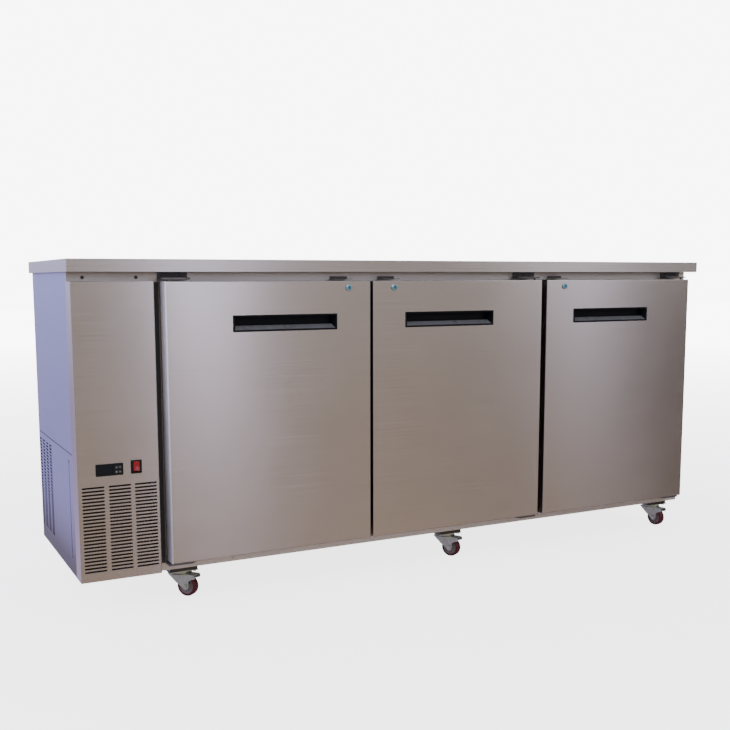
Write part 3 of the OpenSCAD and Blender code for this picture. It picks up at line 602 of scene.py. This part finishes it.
def cut(me, cutters):
    """Cuts boxes or turned shapes, given as bmeshes, out of a mesh."""
    ob = bpy.data.objects.new("cut_base", me)
    bpy.context.scene.collection.objects.link(ob)
    tools = []
    for bm in cutters:
        tool = bpy.data.objects.new("cutter", to_mesh(bm, "cutter"))
        bpy.context.scene.collection.objects.link(tool)
        mod = ob.modifiers.new("cut", "BOOLEAN")
        mod.operation, mod.solver, mod.object = "DIFFERENCE", "EXACT", tool
        tools.append(tool)
    out = evaluated_mesh(ob)
    for spent in [ob] + tools:
        bpy.data.objects.remove(spent)
    return out


def screws(name, spots, axis, r, h, slot):
    """Domed screw heads with a dimple, r and h millimetres in size, as one piece of the cabinet."""
    bm = bmesh.new()
    angles = [math.radians(15 * s) for s in range(6)]
    dome = [(r * math.cos(a), h * (0.45 + 0.55 * math.sin(a))) for a in angles]
    profile = [(0, 0), (r, 0)] + dome + [(r * 0.12, h * 0.9), (0, h * 0.4)]
    for spot in spots:
        lathe(bm, profile, M(*spot), axis, steps=20)
    piece(name, to_mesh(bm, name), "cabinet", slot)


def thick_skin(bm, name, thick, offset=-1):
    """Gives an open skin a thickness: offset -1 is inwards and +1 is outwards."""
    ob = bpy.data.objects.new(name, to_mesh(bm, name))
    bpy.context.scene.collection.objects.link(ob)
    mod = ob.modifiers.new("thick", "SOLIDIFY")
    mod.thickness, mod.offset, mod.use_even_offset = thick * MM, offset, True
    me = evaluated_mesh(ob)
    bpy.data.objects.remove(ob)
    return me


def arc(inset, depth, radius, corner, steps=4):
    """Profile entries that turn from a side at inset to a face at depth, rounded by radius."""
    return [(inset + radius * (1 - math.cos(a)), depth + radius * (1 - math.sin(a)),
             max(corner - radius * (1 - math.cos(a)), 0.15))
            for a in quarter(steps)]


JOINT = {j["name"]: j for j in frame["joints"]}
SHEET = 1.2    # gauge of the steel sheets
FACE_Y = 54.8  # just in front of the face frame


def joint_mm(name):
    return to_mm(JOINT[name]["pos_m"])


# ---------------------------------------------------------------- cabinet

def build_worktop():
    lo, hi = mm_box("worktop")
    hem = 16  # how far the turned-down edge folds back underneath
    bm = bmesh.new()
    profile = [(hem, -lo.z, 0.3), (0.6, -lo.z, 1.2), (0, -lo.z - 0.6, 1.6)] + arc(0, -hi.z, 2.0, 1.8)
    ring_loops(bm, (lo.x, lo.y, hi.x, hi.y), profile, lambda u, v, w: M(u, v, -w))
    me = thick_skin(bm, "worktop_top", 1.5)
    piece("worktop_top", me, BODY["worktop"], "brushed_front", [WORKTOP], ("worktop",))


def build_front_panel():
    lo, hi = mm_box("machine_front_panel")
    bend, y0 = 2.6, lo.y
    columns, rows = [(19.5, 82), (94, 156.5), (167.5, 231)], [141.3 + 9.96 * k for k in range(25)]
    holes = [slot_outline(a, b, z - 2.5, z + 2.5) for a, b in columns for z in rows]
    ctrl = mm_box("controller")[0]
    bezel_lo, bezel_hi = mm_box("switch_bezel")
    holes.append(round_rect(ctrl.x + 2.5, ctrl.z + 2.5, ctrl.x + 74, ctrl.z + 31.5, 1))
    holes.append(round_rect(bezel_lo.x + 2.2, bezel_lo.z + 1.9, bezel_hi.x - 2.2, bezel_hi.z - 1.9, 1))
    outline = [(lo.x + bend, lo.z), (hi.x - bend, lo.z), (hi.x - bend, hi.z), (lo.x + bend, hi.z)]
    bm = pierced_sheet("machine_panel", outline, holes, y0, SHEET, lambda u, v, w: M(u, w, v), rim=0)
    # The flanges turn back round a bend at both ends
    for edge, way, back in ((lo.x, 1, hi.y), (hi.x, -1, FACE_Y)):
        cx, cy = edge + way * bend, y0 + bend
        skins = []
        for start, r in ((edge, bend), (edge + way * SHEET, bend - SHEET)):
            turn = [(cx - way * r * math.cos(a), cy - r * math.sin(a)) for a in quarter(6)]
            skins.append([(start, back)] + turn)
        strip(bm, *skins, lo.z, hi.z)
    add_box(bm, M(lo.x + 1.3, y0 + SHEET, hi.z - SHEET), M(hi.x - 1.3, FACE_Y, hi.z))
    add_box(bm, M(lo.x + 1.3, y0 + SHEET, lo.z), M(hi.x - 1.3, 20, lo.z + SHEET))
    piece("machine_panel", to_mesh(bm, "machine_panel"), "cabinet", "brushed_front",
          replaces=("machine_front_panel",), angle=25)


def build_side_panels():
    lo, hi = mm_box("side_access_panel")
    columns, rows = [411 + 57 * c for c in range(4)], [163 + 10.35 * k for k in range(28)]
    holes = [slot_outline(y - 19, y + 19, z - 3, z + 3) for y in columns for z in rows]
    slit = 118
    holes.append(slot_outline(slit - 3, slit + 3, 170, 434))
    x, seam = lo.x + 1, 467
    outline = [(lo.y, lo.z), (hi.y, lo.z), (hi.y, seam - 2), (lo.y, seam - 2)]
    bm = pierced_sheet("side_panel_pierced", outline, holes, x, SHEET, lambda u, v, w: M(w, u, v), rim=0.2)
    piece("side_panel_pierced", to_mesh(bm, "side_panel_pierced"), "cabinet", "side_steel",
          replaces=("side_access_panel",))
    bm = bmesh.new()
    add_box(bm, M(x + 1.4, lo.y + 4, seam - 12), M(x + 2.6, hi.y - 3, seam + 12))
    piece("side_seam_strip", to_mesh(bm, "side_seam_strip"), "cabinet", "gasket", [DARK_STRIP])
    screws("side_panel_screws", [(x, slit, z) for z in (163, 441)], (-1, 0, 0), 5.5, 1.2, "hinge_dark")


def build_rear_grille():
    lo, hi = mm_box("rear_grille")
    holes = [slot_outline(x, x + 88, z, z + 7) for x in (28, 128) for z in range(490, 891, 20)]
    gland = to_mm(next(m["pos_m"] for m in RECORD["mounts"] if m["name"] == "supply_cord_gland"))
    around_gland = 8.2
    holes.append([(gland.x + around_gland * math.cos(a), gland.z + around_gland * math.sin(a))
                  for a in (math.pi * s / 16 for s in range(32))])
    outline = [(lo.x, lo.z), (hi.x, lo.z), (hi.x, hi.z), (lo.x, hi.z)]
    bm = pierced_sheet("rear_grille_sheet", outline, holes, lo.y, SHEET, lambda u, v, w: M(u, w, v), rim=0.2)
    piece("rear_grille_sheet", to_mesh(bm, "rear_grille_sheet"), "cabinet", "galvanised",
          replaces=("rear_grille",))
    columns = (((16, 234), (140, 340, 545, 750, 955)), ((262, 760, 1265, 1770, 2272), (116, 962)),
               ((262, 2272), (330, 540, 750)))
    spots = [(x, hi.y, z) for xs, zs in columns for x in xs for z in zs]
    screws("back_screws", spots, (0, 1, 0), 3.6, 1.5, "zinc")


def build_liner():
    lo, hi = mm_box("inner_liner")
    gauge, r = 1, 12
    back = hi.y - gauge
    bm = bmesh.new()
    bend = [(r * (1 - math.cos(a)), back - r * (1 - math.sin(a)), r * math.cos(a) + 0.3)
            for a in quarter(5)]
    ring_loops(bm, (lo.x + gauge, lo.z + gauge, hi.x - gauge, hi.z - gauge), [(0, lo.y, r)] + bend,
               lambda u, v, w: M(u, w, v))
    me = thick_skin(bm, "liner_box", gauge, offset=1)
    piece("liner_box", me, "cabinet", "liner_steel", replaces=("inner_liner",), largest=0.05)


def build_shelves():
    lo, hi = mm_box("wire_shelves")
    rim, wire, rail = 3, 1.5, 1.8  # radii of the frame, the cross wires and the rails under them
    y0, y1 = lo.y + rim, hi.y - rim
    runs = []
    for x0, x1 in ((lo.x, 914), (926, 1579), (1591, hi.x)):
        for z in (lo.z, hi.z - 2 * rim):
            corners = [(x0 + 20, y0), (x1 - rim, y0), (x1 - rim, y1),
                       (x0 + rim, y1), (x0 + rim, y0), (x0 + 19, y0)]
            runs.append(([(x, y, z + rim) for x, y in corners], rim, 10, True))
            count = int((x1 - x0) // 26)
            pitch = (x1 - x0 - 2 * rim) / count
            for k in range(1, count):
                x = x0 + k * pitch + wire
                runs.append(([(x, y0, z + 4.5), (x, y1, z + 4.5)], wire, 0, False))
            for y in (243, 413):
                runs.append(([(x0 + rim, y, z + rail), (x1 - rim, y, z + rail)], rail, 0, False))
    piece("shelf_wires", tubes("shelf_wires", runs), "cabinet", "zinc",
          replaces=("wire_shelves",), angle=50)


def build_refrigeration():
    softened("compressor_shell", "compressor", 1.6, keep=lambda a, b: (b - a).x > 0.15)
    softened("compressor_feet", "compressor", 0.8, keep=lambda a, b: (b - a).x < 0.15,
             slot="motor", replaces=())
    coil_y = M(0, 94, 0).y
    softened("condenser_block", "condenser_coil", 0.3, keep=lambda a, b: a.y < coil_y, slot="fins",
             materials=[FIN_DARK])
    softened("condenser_shroud", "condenser_coil", 0.4, keep=lambda a, b: a.y >= coil_y, slot="galvanised",
             replaces=())
    softened("evaporator_block", "evaporator_coil", 0.3, keep=lambda a, b: (b - a).z > 0.1, slot="fins",
             materials=[FIN_Y])
    softened("evaporator_drip_tray", "evaporator_coil", 0.3, keep=lambda a, b: (b - a).z < 0.1,
             slot="galvanised", replaces=())
    top, inside = 307, 295      # where the pipes leave the compressor's lid and enter the cold space
    drier_x, drier_z = 208, 470
    discharge = [(125, 400, top), (125, 400, 408), (38, 400, 408), (38, 62, 408), (38, 62, 385)]
    liquid = [(drier_x, 62, 385), (drier_x, 62, drier_z), (drier_x, 252, drier_z)]
    capillary = [(drier_x, 338, drier_z), (drier_x, 400, drier_z), (drier_x, 400, 640), (inside, 400, 640)]
    suction = [(inside, 470, 600), (190, 470, 600), (190, 470, 360), (150, 440, 360), (150, 440, top)]
    runs = [(discharge, 3.5, 22, False), (liquid, 3.5, 22, False), (capillary, 2, 14, False),
            (suction, 5, 24, False)]
    piece("copper_pipes", tubes("copper_pipes", runs), "cabinet", "copper",
          replaces=("refrigerant_lines",), angle=60)
    drier = [(0, 250), (3.9, 250), (5, 254), (10, 262), (12, 266), (12, 324), (10, 328), (5, 336), (3, 340),
             (0, 340)]
    bm = bmesh.new()
    lathe(bm, drier, M(drier_x, 0, drier_z), (0, 1, 0), steps=32)
    piece("filter_drier", to_mesh(bm, "filter_drier"), "cabinet", "copper")


# Outlines of the symbols on the four keys, in millimetres from a key's centre
SYMBOLS = {1: [(-2, -1.3), (2, -1.3), (0, 2)], 2: [(-2, 1.6), (2, 1.6), (0, -1.7)],
           3: round_rect(-1.8, -1.8, 1.8, 1.8, 0.6, 3), 4: round_rect(-2.1, -0.9, 2.1, 0.9, 0.8, 3)}


def build_key(k):
    node = f"controller_key_{k}"
    softened(f"key_{k}", node, 0.7, segments=3)
    lo, hi = mm_box(node)
    cx, cz = (lo.x + hi.x) / 2, (lo.z + hi.z) / 2
    bm = bmesh.new()
    front, back = [[bm.verts.new(M(cx + u, y, cz + v)) for u, v in SYMBOLS[k]]
                   for y in (lo.y - 0.12, lo.y + 0.1)]
    bm.faces.new(front)
    bm.faces.new(back[::-1])
    for s in range(len(front)):
        t = (s + 1) % len(front)
        bm.faces.new([front[s], front[t], back[t], back[s]])
    piece(f"key_{k}_symbol", to_mesh(bm, f"key_{k}_symbol"), BODY[node], "key_cap", [MARK])


def build_controls():
    lo, hi = mm_box("controller")
    y0 = lo.y
    bm = bmesh.new()
    profile = [(0, y0 + 3, 2.6), (0, y0 + 1.1, 2.6)] + arc(0, y0, 1.1, 2.6)
    ring_loops(bm, (lo.x, lo.z, hi.x, hi.z), profile, lambda u, v, w: M(u, w, v), cap_start=True)
    base = to_mesh(bm, "controller_bezel")
    window = (lo.x + 5, lo.z + 5, lo.x + 48, lo.z + 29)
    pockets, gap = [window + (0.6,)], 0.3
    for k in SYMBOLS:
        key_lo, key_hi = mm_box(f"controller_key_{k}")
        pockets.append((key_lo.x - gap, key_lo.z - gap, key_hi.x + gap, key_hi.z + gap, 2.6))
    cutters = []
    for u0, v0, u1, v1, deep in pockets:
        tool = bmesh.new()
        add_box(tool, M(u0, y0 - 2, v0), M(u1, y0 + deep, v1), 0.5)
        cutters.append(tool)
    piece("controller_bezel", cut(base, cutters), "cabinet", "control_black", replaces=("controller",))
    bm = bmesh.new()
    add_box(bm, M(lo.x + 3, y0 + 3, lo.z + 3), M(lo.x + 73.5, hi.y, lo.z + 31), 0.8)
    piece("controller_case", to_mesh(bm, "controller_case"), "cabinet", "control_black")
    bm = bmesh.new()
    u0, v0, u1, v1 = window
    add_box(bm, M(u0 + 0.2, y0 + 0.15, v0 + 0.2), M(u1 - 0.2, y0 + 0.6, v1 - 0.2), 0.15)
    piece("controller_display", to_mesh(bm, "controller_display"), "cabinet", "control_black", [LENS])
    for k in SYMBOLS:
        build_key(k)
    softened("switch_surround", "switch_bezel", 0.7, segments=3)
    softened("switch_rocker", "rocker", 0.8, segments=3)


def build_soft_copies():
    """Nodes whose shape is right and that only need their sharp edges eased."""
    for name, node, width in (("case_sheets", "outer_shell", 0.35), ("tray_and_pan", "machine_tray", 0.4),
                              ("motors", "fan_motors", 0.9), ("electrics", "electrical_box", 0.6),
                              ("shelf_strips", "shelf_supports", 0.2),
                              ("coil_cover", "evaporator_cover", 0.3),
                              ("fan_front", "condenser_fan", 0.4),
                              ("coil_fan_1", "evaporator_fan_1", 0.4),
                              ("coil_fan_2", "evaporator_fan_2", 0.4)):
        softened(name, node, width)
    # Zinc plates under dark spacers
    spacer_z = 83.2
    bm = soften(cad_mesh("caster_plates"), 0.5)
    for face in bm.faces:
        if face.calc_center_median().z > spacer_z * MM:
            face.material_index = 1
    piece("caster_mounts", to_mesh(bm, "caster_mounts"), "cabinet", "zinc",
          [MAT["zinc"], MAT["compressor_black"]], ("caster_plates",))


def build_front_hardware():
    softened("frame_face", "face_frame", 0.35, keep=lambda a, b: (b - a).y > 0.004 or (b - a).x > 0.01,
             materials=[LIFTED_FRAME])
    # Large dark heads: partly the screws' own colour, partly painted shade round them
    screws("strip_screws", [(x, FACE_Y, 961) for x in (53, 202)], (0, -1, 0), 5, 1.8, "hinge_dark")
    screws("rail_screws", [(x, FACE_Y, 114) for x in (342, 475)], (0, -1, 0), 3.4, 1.5, "zinc")
    # A dark strip in the gap between the machine panel and the first door
    bm = bmesh.new()
    add_box(bm, M(240.5, 53.8, 126), M(265, 54.9, 948), 0.2)
    piece("jamb_trim", to_mesh(bm, "jamb_trim"), "cabinet", "gasket", [DARK_STRIP])
    # One node holds both: hinge plates are longer than keepers, and the first door's are at the left end
    longest_keeper, left_end = 70 * MM, M(500, 0, 0).x
    softened("hinge_plates_left", "hinge_brackets", 0.8, materials=[LIFTED_BRACKET],
             keep=lambda a, b: (b - a).x > longest_keeper and b.x < left_end)
    softened("hinge_plates_right", "hinge_brackets", 1.4, replaces=(),
             keep=lambda a, b: (b - a).x > longest_keeper and b.x > left_end)
    softened("lock_keepers", "hinge_brackets", 0.5, slot="zinc", materials=[LIFTED_BRACKET], replaces=(),
             keep=lambda a, b: (b - a).x < longest_keeper)


# ---------------------------------------------------------------- doors

def pale_band(me, plane):
    """Splits a mesh at a plane across X and gives the part to its left the second material."""
    bm = bmesh.new()
    bm.from_mesh(me)
    bmesh.ops.bisect_plane(bm, geom=list(bm.verts) + list(bm.edges) + list(bm.faces), plane_co=plane,
                           plane_no=(1, 0, 0), dist=1e-6)
    for face in bm.faces:
        if face.calc_center_median().x < plane.x:
            face.material_index = 1
    bm.to_mesh(me)
    bm.free()


def build_door(n):
    body = f"door_{n}"
    lo, hi = mm_box(body)
    core_lo = mm_box(f"door_{n}_core")[0]
    liner_lo, liner_hi = mm_box(f"door_{n}_liner")
    front, back = core_lo.y - SHEET, liner_lo.y + 2
    pin, lock = joint_mm(f"door_{n}_hinge"), joint_mm(f"lock_{n}_turn")
    way = 1 if pin.x < lock.x else -1

    def place(u, v, w):
        return M(u, w, v)

    bm = bmesh.new()
    ring_loops(bm, (lo.x, lo.z, hi.x, hi.z), [(0, back, 1.2)] + arc(0, front, 2.2, 1.5, steps=5), place)
    skin = thick_skin(bm, f"door_{n}_shell", SHEET)
    h_lo, h_hi = mm_box(f"door_{n}_handle")
    opening = bmesh.new()
    add_box(opening, M(h_lo.x + 3.3, front - 2, h_lo.z + 3.3), M(h_hi.x - 3.3, front + 4, h_hi.z - 3.3))
    lock_axis, pin_axis = (M(lock.x, 0, lock.z), (0, 1, 0)), (M(pin.x, pin.y, 0), (0, 0, 1))
    barrel_hole, pin_hole = bmesh.new(), bmesh.new()
    lathe(barrel_hole, [(0, front - 2), (8.5, front - 2), (8.5, front + 4), (0, front + 4)], *lock_axis)
    lathe(pin_hole, [(0, lo.z - 2), (4.6, lo.z - 2), (4.6, hi.z + 2), (0, hi.z + 2)], *pin_axis, 32)
    cam_slot = bmesh.new()
    ends = sorted((lock.x - way * 26, lock.x + way * 8))
    add_box(cam_slot, M(ends[0], 22.8, hi.z - 5), M(ends[1], 28.2, hi.z + 2))
    shell = cut(skin, [opening, barrel_hole, pin_hole, cam_slot])
    materials = [MAT["brushed_front"]]
    # The first door's hinge edge gets the pale band: painted reflection, with painted shade towards the floor
    if n == 1:
        pale_band(shell, M(lo.x + 4, 0, 0))
        materials.append(EDGE)
    piece(f"door_{n}_shell", shell, body, "brushed_front", materials, (body,), angle=25)

    bm = bmesh.new()
    lathe(bm, [(6.05, -15), (8.4, -15), (9.4, -14.6), (10, -13.8), (10, front - 0.1), (8.3, front - 0.1),
               (8.3, 22), (6.05, 22)], *lock_axis, closed=True)
    piece(f"door_{n}_lock_barrel", to_mesh(bm, "barrel"), body, "lock_chrome")
    softened(f"door_{n}_lock_plug", f"lock_{n}", 0.35, materials=[PLUG])

    bm = bmesh.new()
    sleeve = 24
    for z in (lo.z + SHEET, hi.z - SHEET - sleeve):
        lathe(bm, [(4.05, z), (7, z), (7, z + sleeve), (4.05, z + sleeve)], *pin_axis, 40, closed=True)
    piece(f"door_{n}_hinge_sleeves", to_mesh(bm, "sleeves"), body, "zinc")

    # Pull: the sloped lip, which faces up, gets a lighter colour as painted reflection of the light above
    bm = soften(cad_mesh(f"door_{n}_handle"), 0.5)
    bm.normal_update()
    for face in bm.faces:
        if 0.5 < face.normal.z < 0.95 and face.normal.y < -0.3 and face.calc_area() > 4e-4:
            face.material_index = 1
    piece(f"door_{n}_pull", to_mesh(bm, "pull"), body, "handle_black", [MAT["handle_black"], LIT_LIP],
          (f"door_{n}_handle",))

    bm = bmesh.new()
    emboss = [(0.4, liner_lo.y + 0.2, 1), (0.4, back, 1), (32.8, back, 4), (33.6, back + 0.8, 5),
              (34.6, back + 10, 6), (35.8, back + 12.8, 8), (38.6, back + 14, 10), (55, back + 14, 12),
              (57.4, back + 13.2, 12), (58.8, back + 10, 12)]
    ring_loops(bm, (liner_lo.x, liner_lo.z, liner_hi.x, liner_hi.z), emboss, place, cap_start=True)
    piece(f"door_{n}_inner_panel", to_mesh(bm, "inner_panel"), body, "door_lining",
          replaces=(f"door_{n}_liner",))

    g_lo, g_hi = mm_box(f"door_{n}_gasket")
    wide = 18
    half = [(1.6, 0.05), (0, 2), (0, 5.6), (2.4, 8), (0.5, 10.6), (0, 16.2), (1.4, 18.6)]
    section = half + [(wide - i, d) for i, d in reversed(half)]
    profile = [(i, g_lo.y + d, 0.4) for i, d in section]
    bm = bmesh.new()
    ring_loops(bm, (g_lo.x, g_lo.z, g_hi.x, g_hi.z), profile, place, closed=True)
    piece(f"door_{n}_seal", to_mesh(bm, "seal"), body, "gasket", replaces=(f"door_{n}_gasket",))


# ---------------------------------------------------------------- casters

def build_caster(k):
    softened(f"caster_{k}_fork", f"caster_fork_{k}", 0.5)
    node = f"caster_wheel_{k}"
    joint = JOINT[f"caster_{k}_roll"]
    centre = Vector(joint["pos_m"])
    # Profiles are drawn from the middle outwards and mirrored
    half = [(32, 0), (32, 5.5), (31.8, 8.2), (31.2, 10), (30, 11.3), (28.4, 12), (25.2, 12), (24.2, 11.2)]
    tread = [(r, -h) for r, h in reversed(half)] + half[1:]
    bm = bmesh.new()
    lathe(bm, tread, centre, joint["axis"], 72, closed=True)
    piece(f"caster_{k}_tread", to_mesh(bm, "tread"), BODY[node], "wheel_red", replaces=(node,))
    half = [(24.2, 10.6), (21, 9.8), (17.5, 7.6), (12.5, 7.4), (10.6, 9.4), (9.6, 12.8), (8.8, 13.6),
            (4.05, 13.6)]
    core = [(r, -h) for r, h in reversed(half)] + half
    bm = bmesh.new()
    lathe(bm, core, centre, joint["axis"], 60, closed=True)
    piece(f"caster_{k}_core", to_mesh(bm, "core"), BODY[node], "box_grey", [HUB])


build_worktop()
build_front_panel()
build_side_panels()
build_rear_grille()
build_liner()
build_shelves()
build_refrigeration()
build_controls()
build_soft_copies()
build_front_hardware()
for number in (1, 2, 3):
    build_door(number)
for number in range(1, 7):
    build_caster(number)
for node, ob in frame["nodes"].items():
    if node not in DONE:
        ob.data.materials.clear()
        ob.data.materials.append(MAT[SLOT[node]])

# ---------------------------------------------------------------- stage

scene = bpy.context.scene
BACKDROP = 8.0
GAIN = 6.0  # a ramp's colours stop at 1, so levels are divided by this and the strength has it as a factor
# What the steel mirrors above and below the horizon, tuned against the photograph. Each stop
# is (azimuth, level, coolness). Azimuths are degrees from straight ahead of the doors towards the right.
UPPER = [(-180, 1.2, 1.6), (-100, 1.2, 1.6), (-60, 0.9, 1.4), (-20, 0.6, 0.5), (8, 0.64, 0.1),
         (13, 0.66, 0.1), (15.5, 0.85, 0.1), (17, 5.0, 1), (20, 5.4, 1), (21, 1.1, 0.3),
         (24, 0.88, 0.1), (28, 0.82, 0.2), (31, 0.84, 0.2), (34, 0.70, 0.2), (37, 0.50, 0.2),
         (38.6, 0.7, 0.6), (39.8, 3.9, 1), (41.2, 3.4, 1), (42.2, 0.30, 0.9), (44.5, 0.12, 0.9),
         (50, 0.08, 0.6), (70, 0.5, 0.2), (110, 0.7, 0.2), (180, 1.2, 1.6)]
LOWER = [(-180, 0.6, 1.6), (-90, 0.6, 1.6), (-20, 0.45, 0), (8, 0.58, 0), (15, 0.50, 0),
         (19, 0.54, 0), (24, 0.50, 0), (30, 0.64, 0), (36, 0.44, 0), (41, 0.54, 0),
         (44, 0.24, 0), (60, 0.20, 0), (180, 0.6, 1.6)]
NEUTRAL, WARM = (1, 0.975, 0.93), (1, 0.77, 0.60)
# By height, as the upward part of the direction: darkest a little below the horizon
RISE = [(-1, 1.0), (-0.4, 1.2), (-0.27, 1.2), (-0.13, 0.74), (0, 0.95), (0.1, 1.0), (1, 1.0)]
RISE_TOP = 1.2

floor_mesh = bmesh.new()
bmesh.ops.create_grid(floor_mesh, x_segments=1, y_segments=1, size=30)
floor = bpy.data.objects.new("floor", to_mesh(floor_mesh, "floor"))
scene.collection.objects.link(floor)
floor_mat, floor_tree, floor_shader = new_material("floor")
floor_shader.inputs["Roughness"].default_value = 0.85
floor_shader.inputs["Specular IOR Level"].default_value = 0.1
floor_tone = ramp(floor_tree, mapped_noise(floor_tree, (0.8, 0.8, 0.8), 2),
                  [(0.3, (0.70, 0.69, 0.68)), (0.7, (0.73, 0.72, 0.71))])
floor_tree.links.new(floor_tone, floor_shader.inputs["Base Color"])
# The floor brightens with distance, so that it runs into the pale backdrop without a line
place = floor_tree.nodes.new("ShaderNodeTexCoord")
distance = floor_tree.nodes.new("ShaderNodeVectorMath")
distance.operation = "LENGTH"
floor_tree.links.new(place.outputs["Object"], distance.inputs[0])
seen = floor_tree.nodes.new("ShaderNodeLightPath")
brighter = spread(floor_tree, distance.outputs["Value"], 3.2, BACKDROP, src=(1.5, 12))
glow = floor_tree.nodes.new("ShaderNodeEmission")
floor_glow = calc(floor_tree, "MULTIPLY", brighter, seen.outputs["Is Camera Ray"])
floor_tree.links.new(floor_glow, glow.inputs["Strength"])
both = floor_tree.nodes.new("ShaderNodeAddShader")
floor_tree.links.new(floor_shader.outputs[0], both.inputs[0])
floor_tree.links.new(glow.outputs[0], both.inputs[1])
floor_tree.links.new(both.outputs[0], floor_tree.nodes["Material Output"].inputs["Surface"])
floor.data.materials.append(floor_mat)
floor.visible_glossy = False

# The studio that the steel mirrors: soft upright panels in front, cool at the left and warm below.
# The camera itself sees a plain backdrop.
world = bpy.data.worlds.new("studio")
scene.world = world
world.use_nodes = True
sky = world.node_tree
direction = sky.nodes.new("ShaderNodeTexCoord")
parts = sky.nodes.new("ShaderNodeSeparateXYZ")
sky.links.new(direction.outputs["Generated"], parts.inputs[0])
azimuth = calc(sky, "ARCTAN2", parts.outputs["X"], calc(sky, "MULTIPLY", parts.outputs["Y"], -1))


def around(stops, tint):
    """A ramp round the azimuths. Coolness adds mostly blue."""
    turn = spread(sky, azimuth, 0, 1, src=(-math.pi, math.pi))
    colours = [((a + 180) / 360, (level / GAIN, level * (tint[1] + 0.03 * cool) / GAIN,
                                  level * (tint[2] + 0.4 * cool) / GAIN)) for a, level, cool in stops]
    return ramp(sky, turn, colours)


above = spread(sky, parts.outputs["Z"], 0, 1, src=(-0.12, 0.10))
level = ramp(sky, spread(sky, parts.outputs["Z"], 0, 1, src=(-1, 1)),
             [((z + 1) / 2, (share / RISE_TOP,) * 3) for z, share in RISE])
mirrored = blend(sky, around(LOWER, WARM), around(UPPER, NEUTRAL), factor=above)
toned = sky.nodes.new("ShaderNodeBackground")
sky.links.new(multiply(sky, mirrored, level), toned.inputs["Color"])
toned.inputs["Strength"].default_value = GAIN * RISE_TOP
plain = sky.nodes["Background"]
plain.inputs["Color"].default_value = (1, 1, 1, 1)
plain.inputs["Strength"].default_value = BACKDROP
looked_at = sky.nodes.new("ShaderNodeLightPath")
mixed = sky.nodes.new("ShaderNodeMixShader")
sky.links.new(looked_at.outputs["Is Camera Ray"], mixed.inputs[0])
sky.links.new(toned.outputs[0], mixed.inputs[1])
sky.links.new(plain.outputs[0], mixed.inputs[2])
sky.links.new(mixed.outputs[0], sky.nodes["World Output"].inputs["Surface"])


def area_light(name, place, target, size, power, colour=(1, 1, 1)):
    data = bpy.data.lights.new(name, "AREA")
    data.shape, data.size, data.size_y = "RECTANGLE", size[0], size[1]
    data.energy, data.color = power, colour
    lamp = bpy.data.objects.new(name, data)
    scene.collection.objects.link(lamp)
    lamp.location = place
    lamp.rotation_euler = (Vector(target) - Vector(place)).to_track_quat("-Z", "Y").to_euler()


area_light("key", (-2.2, -3.6, 3.6), (0, 0, 0.5), (2.6, 1.8), 60, (1, 0.98, 0.95))
area_light("fill_left", (-4.5, 0.8, 2.2), (-1, 0, 0.5), (2.4, 2.4), 40, (0.78, 0.82, 1))
area_light("fill_right", (3.8, -3.2, 2.6), (0.5, 0, 0.5), (2.4, 2.0), 25, (1, 0.97, 0.94))

# The camera fitted to the photograph
camera_data = bpy.data.cameras.new("camera")
camera_data.sensor_width = 36
camera_data.lens = 48.617
camera_data.shift_x, camera_data.shift_y = 0.0088, 0.0547
camera = bpy.data.objects.new("camera", camera_data)
scene.collection.objects.link(camera)
camera.location = (-1.66539, -3.02503, 0.95521)
camera.rotation_euler = (math.radians(82.71), math.radians(0.17), -math.radians(27.15))
scene.camera = camera
